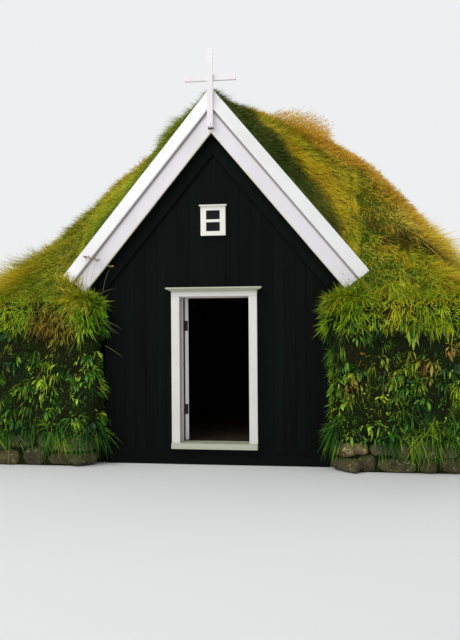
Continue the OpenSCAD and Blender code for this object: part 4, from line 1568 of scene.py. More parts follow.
def scattered(points: Array, colours: Palette, scale: float, seed: int, rng: Random,
              loose: float = 0.35) -> Array:
    """Return colours picked along a row of them by noise and a little chance.

    Args:
        points: (n, 3) places.
        colours: linear colours in the order in which they blend.
        scale: size of the patches in metres.
        seed: picks the patches.
        rng: random numbers for the single blades.
        loose: share that chance has.
    """
    t = 0.5 + 0.75 * fractal(points, scale, seed, 3) + rng.normal(0, loose * 0.5, len(points))
    t = np.clip(t, 0, 1) * (len(colours) - 1)
    k = np.minimum(t.astype(int), len(colours) - 2)
    table = np.array(colours)
    return mix(table[k], table[k + 1], (t - k)[:, None])


@dataclass(frozen=True)
class GrassColours:
    """The colours of the living and dead grass, as palettes from shade to light."""

    golden: Palette = palette((188, 158, 20), (222, 188, 28), (238, 206, 44), (242, 206, 84))
    olive: Palette = palette((150, 148, 26), (186, 178, 34), (208, 192, 42), (216, 184, 58))
    green: Palette = palette((88, 138, 16), (130, 172, 22), (170, 198, 30), (200, 206, 44))
    # shade: the colours of the painted shade behind the verge.
    shade: Palette = palette((44, 62, 12), (68, 90, 18), (96, 112, 24), (126, 118, 34))
    russet: Palette = palette((196, 138, 38), (226, 164, 50), (236, 184, 68), (240, 202, 104))
    leaf: Palette = palette((20, 62, 14), (42, 100, 20), (88, 146, 28), (172, 196, 46))
    dead_leaf: Palette = palette((84, 62, 24), (152, 108, 36), (208, 148, 50), (226, 188, 84))


@dataclass
class RoofGrass:
    """Long grass combed down the roof and the walls' tops, with seed heads on the crest.

    A pair of numbers is for the left side and for the right one, and a side is -1 or 1.
    """

    sod: RoofSod
    meadow: Meadow
    colours: GrassColours = GrassColours()
    long: Habit = Habit(per_clump=34, radius=0.055, length=0.125, width=0.0068, stand=0.32,
                        lean=0.6, fan=0.25, tousle=0.2, sway=0.22, bend=0.3, shade=0.85,
                        face_out=1.3, kind=Kind.AWN)
    ledge: Habit = Habit(per_clump=32, radius=0.06, length=0.125, width=0.007, stand=0.45,
                         lean=0.42, fan=0.35, tousle=0.22, sway=0.28, bend=0.35, shade=0.7,
                         face_out=1.2, kind=Kind.AWN)
    fold: Habit = Habit(per_clump=20, radius=0.05, length=0.05, width=0.009, stand=0.5, fan=0.4,
                        bend=0.4, shade=0.3, kind=Kind.AWN)
    fold_clumps: int = 150
    tussock: Habit = Habit(per_clump=18, radius=0.045, length=0.15, width=0.0068, stand=0.55,
                           lean=0.35, fan=0.45, sway=0.35, face_out=0.9)
    tussocks: int = 300
    tussocks_to: float = -1.75
    upright: Habit = Habit(per_clump=9, radius=0.04, length=0.12, width=0.0085, stand=0.3,
                           lean=0.75, fan=0.7, tousle=0.4, sway=0.45, bend=0.35, face_out=1.2)
    foot_clumps: int = 26
    foot_h: Pair = (0.36, 0.24)
    slope_clumps: int = 3500
    crowding: Pair = (1.6, 1.25)
    eaves_clumps: int = 1550
    rear_clumps: int = 520
    lobe_clumps: int = 210
    heads: tuple[int, int] = (3400, 11000)
    crest_x: float = 2.8
    crest_from: float = 0.5
    tall_at: Pair = (-2.65, 0.82)
    tall_within: float = 0.3
    taller: float = 2.3
    # gain: factors on the left and right slopes' colours, painted light that is strongest on the right
    # slope.
    gain: Pair = (1.02, 1.33)
    rim: float = 0.38
    russet_behind: float = 0.72
    green_under: float = 2.38
    gold_under: float = 2.95
    outer_from: float = 2.1
    outer_growth: Pair = (2.3, 1.6)
    seed: int = 41

    def zones(self, place: Array, rng: Random) -> Array:
        """Return each clump's colour by where it grows.

        Behind the verge lies a band of painted shade, wide near the ridge, then a golden rim, then
        yellow green with a russet crest. The lower slope is green up to the fold and golden behind it,
        and the fold's steep face is darkened as painted shade. The left slope is greener. The gains
        and the golden zone's raise brighten the colours as painted light, most on the right slope.

        Args:
            place: (n, 3) places on the turf.
            rng: random numbers for the clumps' small differences.

        Returns:
            (n, 3) linear colours.
        """
        x, y, z = place.T
        from_middle, is_right = np.abs(x), x > 0
        wobble = 0.1 * fractal(place, 0.5, 7, 2)
        behind = FORM.behind_verge(y) + wobble
        hues = self.colours
        shade, golden, olive, green, russet = (
            scattered(place, hue, scale, seed, rng) for hue, scale, seed in (
                (hues.shade, 0.3, 1), (hues.golden, 0.35, 2), (hues.olive, 0.4, 3),
                (hues.green, 0.35, 4), (hues.russet, 0.3, 5)))
        upper = mix(golden, olive, past(behind, self.rim, 0.12)[:, None])
        patch = 0.25 * past(fractal(place, 0.5, 9, 2), 0.05, 0.3)
        crest = past(behind, self.russet_behind, 0.25) * np.where(is_right, 0.7, 0.15)
        upper = mix(upper, russet, np.maximum(patch, crest)[:, None])
        past_fold = smooth((self.sod.crease.beyond(x, y)[0] + wobble) / 0.12) * is_right
        low = past(self.green_under + 2 * wobble, z, 0.25) * (1 - past_fold)
        low *= 1 - 0.85 * past(x, 2.15, 0.3)
        outer = past(from_middle, self.outer_from, 0.4)
        left = 0.4 + 0.4 * past(0.4, behind, 0.2) - 0.4 * outer
        green = np.where(is_right[:, None], 1.1 * mix(green, golden, 0.3), green)
        base = mix(upper, green, np.where(is_right, low, left)[:, None])
        is_over_board = past(FORM.eave_x - 0.05, from_middle, 0.2)
        # The band of painted shade behind the verge, wider near the ridge.
        band = 0.1 + 0.28 * (1 - past(from_middle, 0.25, 0.95))
        band += 0.7 * (1 - past(x, 0.08, 0.4)) * is_right
        dark = (1 - past(behind, band, 0.1)) * is_over_board * np.where(is_right, 1.0, 0.35)
        gold = past_fold * past(self.gold_under, z, 0.3)
        # Behind the fold the golden colours are raised 1.35 times: the grass's own gold, brightened as
        # painted light.
        base = mix(base, 1.35 * mix(golden, russet, 0.6), (0.85 * gold)[:, None])
        # The gains brighten the colours as painted light.
        gain = np.where(is_right, self.gain[1], self.gain[0] * (1 + 0.18 * outer))
        base = mix(base * gain[:, None], shade, dark[:, None])
        # The fold's steep face is darkened by up to 0.78: painted shade.
        return base * (1 - 0.78 * self.sod.crease.near(x, y) * is_right)[:, None]

    def size(self, patch: Patch, side: float) -> Array:
        """Return the clumps' size: noise, and at the right shorter in the fold's gap and before it."""
        size = 1 + 0.5 * fractal(patch.place, 0.25, 12, 2)
        if side < 0:
            return size
        size *= 1 - 0.15 * bell(patch.x, 1.7, 0.4)
        d, t = self.sod.crease.beyond(patch.x, patch.y)
        return size * (1 - 0.45 * self.sod.crease.fade(t) * bell(d, -0.04, 0.08))

    def in_fold(self, rng: Random) -> Tuft:
        """Return short grass on the steep face of the fold, darkened to painted shade."""
        crease = self.sod.crease
        a, b = np.array(crease.start), np.array(crease.end)
        t = rng.uniform(-0.02, 1.0, self.fold_clumps)
        at = a + t[:, None] * (b - a)
        at[:, 1] += rng.uniform(-0.03, crease.width + 0.01, len(t)) - crease.wave(t)
        patch = self.sod.patch(at[:, 0], at[:, 1])
        # Dead-leaf brown at 0.3 of its brightness: painted shade in the fold.
        colour = 0.3 * scattered(patch.place, self.colours.dead_leaf, 0.2, 16, rng)
        return clumps(patch, self.fold, colour, rng)

    def kept_behind(self, tuft: Tuft) -> Tuft:
        """Return the tuft with its blades kept behind the boards at both verges.

        A root is moved back to the boards, and a blade beside them leans to the inside.
        """
        low, high = FORM.verge_front + 0.008, FORM.verge_rear - 0.008
        tuft.roots[:, 1] = np.clip(tuft.roots[:, 1], low, high)
        inward = np.where(tuft.roots[:, 1] < 0, 1.0, -1.0)
        is_near = np.minimum(tuft.roots[:, 1] - low, high - tuft.roots[:, 1]) < 0.05
        for part in (tuft.grow, tuft.droop):
            part[:, 1] = np.where(is_near, inward * np.abs(part[:, 1]), part[:, 1])
        return tuft

    def slope(self, side: float, word: str) -> None:
        """Grow the grass of one slope, from the ridge to the eaves."""
        rng = np.random.default_rng(self.seed + int(side))
        u, v = spread_evenly(self.slope_clumps, int(3 + side))
        v = v ** self.crowding[side > 0]
        y = mix(FORM.verge_front + 0.01, FORM.verge_rear - 0.01, v)
        x = side * FORM.eave_x * u
        patch = self.sod.patch(x, y)
        size = self.size(patch, side) * mix(0.75, 1.0, smooth(FORM.behind_verge(y) / 0.3))
        if side < 0:
            size *= 1 + 0.9 * bell(x, -0.36, 0.2) * past(-1.2, y, 0.4)
            size *= 1 - 0.45 * bell(x, -0.85, 0.35)
        tuft = self.kept_behind(clumps(patch, self.long, self.zones(patch.place, rng), rng, size))
        self.meadow.make(f"roof_grass_{word}", "roof_turf", tuft)

    def eaves(self, side: float, word: str) -> None:
        """Grow the grass of the wall's level top, out to its edge."""
        rng = np.random.default_rng(self.seed + 20 + int(side))
        u, v = spread_evenly(self.eaves_clumps, int(13 + side))
        y = mix(-FORM.berm_y, FORM.berm_y, v)
        x = side * mix(FORM.eave_x, FORM.edge_x(y) - 0.02, u**0.9)
        patch = self.sod.patch(x, y)
        outer = past(side * x, self.outer_from, 0.4) * past(FORM.berm_y - 0.1, np.abs(y), 0.3)
        size = self.size(patch, side) * (1 + self.outer_growth[side > 0] * outer)
        tuft = clumps(patch, self.ledge, self.zones(patch.place, rng), rng, size)
        tufts = [tuft, self.by_foot(side, rng), self.front_tussocks(side, rng)]
        if side > 0:
            tufts.append(self.in_fold(rng))
        self.meadow.make(f"eaves_grass_{word}", "roof_turf", *tufts)

    def mixed(self, place: Array, rng: Random) -> Array:
        """Return leaf green and grass green, clump by clump, with some golden ones."""
        hues = self.colours
        green = scattered(place, hues.leaf[1:] + hues.green[1:], 0.16, 17, rng, 1.0)
        golden = scattered(place, hues.golden, 0.2, 18, rng, 0.8)
        share = smooth((fractal(place, 0.3, 19, 2) + rng.normal(0, 0.3, len(place))) / 0.4)
        return 1.2 * mix(green, golden, (0.8 * share)[:, None])

    def front_tussocks(self, side: float, rng: Random) -> Tuft:
        """Return coarse tussocks on the front end of a wall's top."""
        u, v = spread_evenly(self.tussocks, int(47 + side))
        y = mix(-FORM.berm_y + 0.02, self.tussocks_to, v)
        x = side * mix(FORM.eave_x - 0.08, FORM.edge_x(y) - 0.05, u)
        patch = self.sod.patch(x, y)
        patch = patch.only(self.sod.crease.beyond(x, y)[0] * (x > 0) < 0.0)
        patch = patch.only((np.abs(patch.x) > FORM.eave_x) | (patch.y > FORM.verge_front + 0.03))
        return clumps(patch, self.tussock, self.mixed(patch.place, rng), rng,
                      rng.uniform(0.5, 1.2, len(patch)))

    def by_foot(self, side: float, rng: Random) -> Tuft:
        """Return grass that stands up before the foot of a bargeboard."""
        n = self.foot_clumps
        t = rng.uniform(0, 1, n)
        x = side * mix(FORM.eave_x - 0.2, FORM.eave_x + 0.2, t)
        y = -FORM.berm_y + rng.uniform(-0.03, 0.0, n)
        z = FORM.wall_top + mix(0.03, self.foot_h[side > 0], t) + rng.uniform(-0.09, 0.04, n)
        place = stacked(x, y, z)
        normal = np.tile([0.0, -0.98, 0.2], (n, 1))
        comb = np.tile(unit(np.array([-0.35 * side, -0.1, 0.9])), (n, 1))
        green, golden = (scattered(place, hue, 0.2, seed, rng, 0.9) for hue, seed in (
            (self.colours.green, 14), (self.colours.golden, 15)))
        colour = mix(green, golden, smooth(rng.normal(0.3, 0.4, n))[:, None])
        return clumps(Patch(place, normal, comb), self.upright, colour, rng, rng.uniform(0.6, 1.4, n))

    def before_gable(self, name: str, x0: float, x1: float, count: int, is_rear: bool) -> None:
        """Grow the grass on a wall's level top before a gable, short under the verge.

        Args:
            name: the piece's name.
            x0: its left end.
            x1: its right end.
            count: number of clumps.
            is_rear: whether it is the rear wall's.
        """
        rng = np.random.default_rng(self.seed + 60 + int(10 * x0))
        u, v = spread_evenly(count, 29)
        patch = self.sod.ledge_patch(mix(x0, x1, u), v * 0.98, is_rear)
        colour = self.mixed(patch.place, rng)
        size = 1 + 0.4 * fractal(patch.place, 0.3, 12, 2)
        if not is_rear:
            size *= mix(0.45, 1.25, past(FORM.verge_front - 0.01, patch.y, 0.04))
        self.meadow.make(name, "wall_turf", clumps(patch, self.tussock, colour, rng, size))

    def crest(self, side: float, word: str) -> None:
        """Grow wispy seed heads: a thin stalk that nods, with spikelets up its top third.

        They stand tall high on the right slope and far out on the left, and low elsewhere.
        """
        rng = np.random.default_rng(self.seed + 40 + int(side))
        u, v = spread_evenly(self.heads[side > 0], int(23 + side))
        x, y = side * self.crest_x * u, mix(FORM.verge_front + 0.6, FORM.verge_rear - 0.4, v)
        patch = self.sod.patch(x, y)
        is_crest = (x < 0) | (x > self.crest_from - 0.35 * smooth(y / 1.5))
        patch = patch.only(is_crest & (fractal(patch.place, 0.5, 9, 2) > -0.1))
        n = len(patch)
        up = np.array([0.0, 0.0, 1.0])
        grow = unit(patch.normal * 0.5 + up * 0.3 + patch.comb * 0.5 + rng.normal(0, 0.2, (n, 3)))
        droop = patch.comb * 0.3 - up * 0.12 + rng.normal(0, 0.08, (n, 3))
        tall = bell(patch.x, self.tall_at[side > 0], self.tall_within)
        long = rng.uniform(0.05, 0.11, n) * (0.8 + self.taller * tall)
        stalk = scattered(patch.place, self.colours.golden, 0.3, 6, rng)
        head = mix(scattered(patch.place, self.colours.russet, 0.3, 8, rng), stalk, 0.25)
        parts = [Tuft(patch.place, grow, droop, rng.normal(0, 1, (n, 3)), long,
                      np.full(n, 0.004), stalk * 0.6, head)]
        for share in np.linspace(0.6, 1.0, 5):
            t = (share + rng.uniform(-0.05, 0.05, n))[:, None]
            root = patch.place + long[:, None] * (t * grow + t**2 * droop)
            out = unit(grow + rng.normal(0, 0.7, (n, 3)))
            parts.append(Tuft(root, out, droop * 0.5, rng.normal(0, 1, (n, 3)),
                              rng.uniform(0.018, 0.042, n), rng.uniform(0.004, 0.008, n),
                              head, head * 1.15))
        self.meadow.make(f"seed_heads_{word}", "roof_turf", joined(parts))

    def build(self) -> None:
        """Grow both slopes, both eaves, the tops before the gables and the seed heads."""
        for side, word in SIDES:
            self.slope(side, word)
            self.eaves(side, word)
            self.crest(side, word)
            ends = sorted((side * FORM.lobe_x, side * (FORM.eave_x + 0.05)))
            self.before_gable(f"lobe_grass_{word}", *ends, self.lobe_clumps, False)
        self.before_gable("rear_ledge_grass", -FORM.eave_x, FORM.eave_x, self.rear_clumps, True)


@dataclass
class WallGrowth:
    """What grows on the turf walls: hanging grass, broad leaves and an overhanging fringe."""

    faces: TurfFaces
    meadow: Meadow
    leafage: Meadow
    colours: GrassColours = GrassColours()
    hanging: Habit = Habit(per_clump=13, radius=0.035, length=0.1, width=0.0064, stand=0.6,
                           fan=0.55, sway=0.4, shade=0.35)
    stubble: Habit = Habit(per_clump=10, radius=0.06, length=0.05, width=0.007, stand=0.7, fan=0.5,
                           tousle=0.4, sway=0.4, bend=0.4, shade=0.5, kind=Kind.AWN)
    rosette: Habit = Habit(per_clump=7, radius=0.03, length=0.062, width=0.03, stand=0.75,
                           lean=0.25, fan=0.9, tousle=0.35, shade=0.55, face_out=1.6,
                           kind=Kind.LEAF)
    fringe: Habit = Habit(per_clump=20, radius=0.03, length=0.112, width=0.007, stand=0.75,
                          lean=0.25, fan=0.7, sway=0.35, bend=0.45, shade=0.6)
    trail: Habit = Habit(per_clump=11, radius=0.05, length=0.24, width=0.008, stand=0.3, lean=0.7,
                         fan=0.35, tousle=0.25, bend=0.4, shade=0.4)
    trail_clumps: int = 620
    trail_h: float = 0.16
    hanging_clumps: int = 2500
    stubble_clumps: int = 3000
    rosettes: int = 2900
    fringe_clumps: int = 1400
    withered: tuple[Triple, ...] = (
        (-1.85, 1.56, 0.25), (1.49, 0.88, 0.1), (1.64, 1.17, 0.08), (1.86, 1.66, 0.06),
        (2.28, 1.1, 0.1), (2.5, 1.32, 0.1))
    seed: int = 61

    def dead(self, place: Array) -> Array:
        """Return from 0 to 1 how dead the growth is: patches of noise, and some at the front.

        A patch at the front is 1 - smooth((d / r - 0.7) / 0.6) of the distance d from its middle.
        """
        is_front = place[:, 1] < FORM.front_y
        share = past(fractal(place, 0.3, 54, 2), 0.22, 0.2) * np.where(is_front, 0.25, 1.0)
        for x, z, r in self.withered:
            d = np.hypot(place[:, 0] - x, place[:, 2] - z) * (1 + 0.4 * value_noise(place, 0.12, 55))
            share = np.maximum(share, (1 - past(d / r, 0.7, 0.6)) * is_front)
        return share

    def withered_to(self, colour: Array, brown: Array, place: Array, rng: Random) -> Array:
        """Return colours turned brown in the dead patches, by chance more or less."""
        return mix(colour, brown, (self.dead(place) * rng.uniform(0.5, 1.0, len(place)))[:, None])

    def rooted(self, count: int, seed: int, low: float, span: float) -> Patch:
        """Return places spread evenly over the faces, from low up their profile over a span.

        Args:
            count: how many places.
            seed: picks another spread.
            low: length up the profile at which they start.
            span: length that they take up.
        """
        u, v = spread_evenly(count, seed)
        return self.faces.grown(u * self.faces.lengths[-1], low + v * span)

    def outside_gaps(self, patch: Patch, count: int, seed: int, rng: Random) -> Patch:
        """Return the places where the growth is densest; it thins out under the lip.

        The density is noise, less 0.8 exp(-((z - gap) / 0.09)^2) for the shaded band.

        Args:
            patch: the places to choose from.
            count: how many to keep.
            seed: picks the noise.
            rng: random numbers that blur it.
        """
        density = fractal(patch.place, 0.17, seed, 2) + rng.normal(0, 0.3, len(patch))
        density -= 0.8 * bell(patch.z, self.faces.gap_z, 0.09)
        return patch.only(np.sort(np.argsort(-density)[:count]))

    def colour(self, place: Array, rng: Random) -> Array:
        """Return leaf green, lighter at half height, turned orange-brown in the dead patches."""
        green = scattered(place, self.colours.leaf, 0.22, 52, rng, 0.8)
        light = bell(place[:, 2], 0.95, 0.25)
        green = green * mix(np.array([0.85, 1.0, 0.9]), np.full(3, 1.4), light[:, None])
        brown = scattered(place, self.colours.dead_leaf, 0.22, 53, rng, 0.6)
        return self.withered_to(green, brown, place, rng)

    def hanging_grass(self) -> None:
        """Hang thin grass over the faces and part of the footing, with stubble under it, dead brown and
        darkened as painted shade.
        """
        rng = np.random.default_rng(self.seed + 1)
        patch = self.rooted(int(self.hanging_clumps * 1.6), 33, 0.01, self.faces.face_l)
        patch = self.outside_gaps(patch, self.hanging_clumps, 56, rng)
        size = 1 + 0.5 * fractal(patch.place, 0.25, 56, 2)
        low = past(FORM.footing_h + 0.3, patch.z, 0.3)
        longer = 1.1 * (value_noise(patch.place, 0.3, 77) > -0.2)
        size *= 1 + low * np.where(FORM.is_bare(patch.x, patch.y < FORM.front_y), -0.55, longer)
        tuft = clumps(patch, self.hanging, self.colour(patch.place, rng), rng, size)
        patch = self.rooted(self.stubble_clumps, 37, 0.01, self.faces.face_l)
        # Stubble at 0.35 of the leaf colour with some dead brown: painted shade under the hanging
        # grass.
        colour = 0.35 * self.colour(patch.place, rng) + 0.1 * np.array(self.colours.dead_leaf[1])
        short = clumps(patch, self.stubble, colour, rng)
        patch = self.rooted(int(self.trail_clumps * 1.5), 39, 0.01, self.trail_h)
        patch = self.outside_gaps(patch, self.trail_clumps, 71, rng)
        patch = patch.only(~FORM.is_bare(patch.x, patch.y < FORM.front_y))
        over = clumps(patch, self.trail, self.colour(patch.place, rng), rng,
                      rng.uniform(0.5, 1.2, len(patch)))
        self.meadow.make("wall_grass", "wall_turf", joined([tuft, over]), short)

    def leaf_cover(self) -> None:
        """Set rosettes of broad leaves in patches, the living ones green and some dead."""
        rng = np.random.default_rng(self.seed)
        patch = self.rooted(self.rosettes * 2, 31, 0.02, self.faces.face_l - 0.05)
        patch = self.outside_gaps(patch, self.rosettes, 51, rng)
        size = rng.uniform(0.5, 1.5, len(patch))
        tuft = clumps(patch, self.rosette, self.colour(patch.place, rng), rng, size)
        tuft.width = tuft.length * rng.uniform(0.22, 0.42, len(tuft.length))
        self.leafage.make("wall_leaves", "wall_turf", tuft)

    def lip(self) -> None:
        """Let long grass hang over the walls' top edge, its colours raised 1.5 times as painted light.

        Beside the timber front it is combed towards the doorway.
        """
        rng = np.random.default_rng(self.seed + 2)
        start = self.faces.face_l - 0.2
        patch = self.rooted(self.fringe_clumps, 35, start, self.faces.reach - start)
        place, n = patch.place, len(patch)
        by_front = past(2.2, np.abs(patch.x), 0.7) * (patch.y < FORM.front_y)
        patch.comb = unit(patch.comb - by_front[:, None] * np.sign(patch.x)[:, None]
                          * np.array([0.15, 0.0, 0.0]))
        size = np.clip(1 + 0.8 * fractal(place, 0.3, 58, 2) + rng.normal(0, 0.15, n), 0.4, 1.7)
        hues = self.colours
        green, golden, brown = (scattered(place, hue, scale, seed, rng) for hue, scale, seed in (
            (hues.green, 0.4, 59), (hues.golden, 0.4, 60), (hues.dead_leaf, 0.2, 62)))
        share = past(fractal(place, 0.8, 61, 2), -0.02, 0.35) * 0.8 * (1 - 0.7 * by_front)
        # Raised 1.5 times: painted light on the fringe.
        colour = 1.5 * mix(green, golden, share[:, None])
        colour[:, 0] *= 1 - 0.28 * by_front
        colour = self.withered_to(colour, brown, place, rng)
        tuft = clumps(patch, self.fringe, colour, rng, size)
        self.meadow.make("ledge_fringe", "wall_turf", tuft)

    def build(self) -> None:
        """Grow the three layers."""
        self.hanging_grass()
        self.leaf_cover()
        self.lip()


@dataclass
class TallHerbs:
    """A few tall herbs about the left bargeboard's foot: thin stalks and flat flower heads.

    Each is the x and z of its root and of its top.
    """

    meadow: Meadow
    umbels: tuple[tuple[float, float, float, float], ...] = (
        (-1.45, 1.93, -1.41, 2.3), (-1.42, 1.93, -1.34, 2.28), (-1.36, 1.9, -1.28, 2.26),
        (-1.22, 1.93, -1.13, 2.19))
    stalks: tuple[tuple[float, float, float, float], ...] = (
        (-1.2, 1.33, -0.98, 1.19), (-1.19, 1.6, -0.99, 1.5), (-1.2, 1.58, -1.02, 1.44),
        (-1.26, 1.9, -1.08, 1.96))
    rays: int = 16
    florets: int = 8
    head_r: float = 0.045
    before: float = 0.035
    stalk_colour: Colour = srgb(150, 142, 92)
    head_colour: Colour = srgb(176, 146, 98)
    seed: int = 91

    def stems(self, ends: Array, rng: Random) -> Tuft:
        """Return one stalk for each row of ends, bent a little to its top.

        Args:
            ends: (n, 4) x and z of the root and of the top.
            rng: random numbers for the bends.
        """
        n = len(ends)
        y = np.full(n, -FORM.berm_y - self.before)
        root = stacked(ends[:, 0], y, ends[:, 1])
        top = stacked(ends[:, 2], y, ends[:, 3])
        length = np.linalg.norm(top - root, axis=1)
        bend = rng.uniform(0.1, 0.3, (n, 2)) * [1.0, -1.0]
        droop = stacked(np.sign(top - root)[:, 0] * bend[:, 0], 0 * length, bend[:, 1])
        colour = np.tile(self.stalk_colour, (n, 1))
        return Tuft(root, (top - root) / length[:, None] - droop, droop,
                    np.tile([0.0, 1.0, 0.0], (n, 1)), length, np.full(n, 0.0034), colour * 0.7,
                    colour, Kind.STEM)

    def build(self) -> None:
        """Grow the stalks, the rays of their heads and the florets at the rays' ends."""
        rng = np.random.default_rng(self.seed)
        ends = np.array(self.umbels + self.stalks)
        stems = self.stems(ends, rng)
        heads = np.repeat((stems.roots + stems.length[:, None] * (stems.grow + stems.droop))[
            :len(self.umbels)], self.rays, axis=0)
        n = len(heads)
        turn = rng.uniform(0, 2 * np.pi, n)
        wide = np.sqrt(rng.uniform(0.05, 1, n))
        grow = stacked(wide * np.cos(turn), 0.6 * wide * np.sin(turn), np.full(n, 0.45))
        colour = np.tile(self.head_colour, (n, 1)) * rng.uniform(0.6, 1.2, (n, 1))
        rays = Tuft(heads, grow, np.zeros((n, 3)), rng.normal(0, 1, (n, 3)),
                    np.full(n, self.head_r), np.full(n, 0.004), colour * 0.6, colour * 0.8)
        tips = np.repeat(heads + self.head_r * 0.95 * grow, self.florets, axis=0)
        colour = np.repeat(colour, self.florets, axis=0)
        m = len(tips)
        florets = Tuft(tips, unit(rng.normal(0, 1, (m, 3))), np.zeros((m, 3)),
                       rng.normal(0, 1, (m, 3)), rng.uniform(0.008, 0.016, m), np.full(m, 0.008),
                       colour, colour * 1.3)
        self.meadow.make("tall_herbs", "wall_turf", stems, rays, florets)


@dataclass
class Studio:
    """A pale floor, soft lamps and the camera at the photograph's place."""

    floor: Colour = srgb(222, 222, 220)
    sky: Colour = srgb(238, 239, 240)
    daylight: Colour = (0.93, 0.97, 1.0)
    ambient: float = 0.68
    key_watts: float = 950.0
    key_at: Triple = (-5.0, -9.0, 12.0)
    back_watts: float = 570.0
    back_at: Triple = (5.0, 9.0, 12.0)
    camera_at: Triple = (1.555, -10.983, 1.570)
    yaw: float = 8.96
    pitch: float = 0.21
    roll: float = 0.41
    lens: float = 45.04
    lamp_size: float = 9.0
    look_at: Triple = (0.0, 0.0, 1.8)
    floor_half: float = 60.0

    def camera(self) -> None:
        """Put the camera at the photograph's place, with its turn, pitch, roll and lens."""
        data = bpy.data.cameras.new("camera")
        data.lens = self.lens
        data.clip_end = 200.0
        eye = add_object("camera", data)
        eye.location = self.camera_at
        turn = (Matrix.Rotation(math.radians(self.yaw), 4, "Z")
                @ Matrix.Rotation(math.radians(90 + self.pitch), 4, "X")
                @ Matrix.Rotation(math.radians(-self.roll), 4, "Z"))
        eye.rotation_euler = turn.to_euler()
        bpy.context.scene.camera = eye

    def ground(self) -> None:
        """Lay the pale floor under the house, outside the object."""
        half = self.floor_half
        mesh = bpy.data.meshes.new("floor")
        mesh.from_pydata([(-half, -half, 0), (half, -half, 0), (half, half, 0), (-half, half, 0)],
                         [], [(0, 1, 2, 3)])
        plane = add_object("floor", mesh)
        g = Graph("floor_pale", roughness=0.9, specular=0.1)
        g.colour(self.floor)
        mesh.materials.append(g.material)

    def world(self) -> None:
        """Give the world a pale background and a soft even light."""
        world = bpy.data.worlds.new("pale_world")
        bpy.context.scene.world = world
        world.use_nodes = True
        nodes, links = world.node_tree.nodes, world.node_tree.links
        light = nodes["Background"]
        light.inputs["Color"].default_value = (*self.daylight, 1.0)
        light.inputs["Strength"].default_value = self.ambient
        seen = nodes.new("ShaderNodeBackground")
        seen.inputs["Color"].default_value = (*self.sky, 1.0)
        path = nodes.new("ShaderNodeLightPath")
        either = path.outputs["Is Camera Ray"]
        for name in ("Is Glossy Ray", "Is Transmission Ray"):
            most = nodes.new("ShaderNodeMath")
            most.operation = "MAXIMUM"
            links.new(either, most.inputs[0])
            links.new(path.outputs[name], most.inputs[1])
            either = most.outputs[0]
        blend = nodes.new("ShaderNodeMixShader")
        links.new(either, blend.inputs[0])
        links.new(light.outputs[0], blend.inputs[1])
        links.new(seen.outputs[0], blend.inputs[2])
        links.new(blend.outputs[0], nodes["World Output"].inputs["Surface"])

    def lamp(self, name: str, at: Triple, watts: float) -> None:
        """Hang a large square lamp that looks at the house."""
        data = bpy.data.lights.new(name, "AREA")
        data.size = self.lamp_size
        data.energy = watts
        lamp = add_object(name, data)
        lamp.location = at
        aim = Vector(self.look_at) - Vector(at)
        lamp.rotation_euler = aim.to_track_quat("-Z", "Y").to_euler()

    def build(self) -> None:
        """Set the stage."""
        bpy.context.scene.view_settings.view_transform = "Standard"
        self.camera()
        self.ground()
        self.world()
        self.lamp("overcast_key", self.key_at, self.key_watts)
        self.lamp("back_light", self.back_at, self.back_watts)


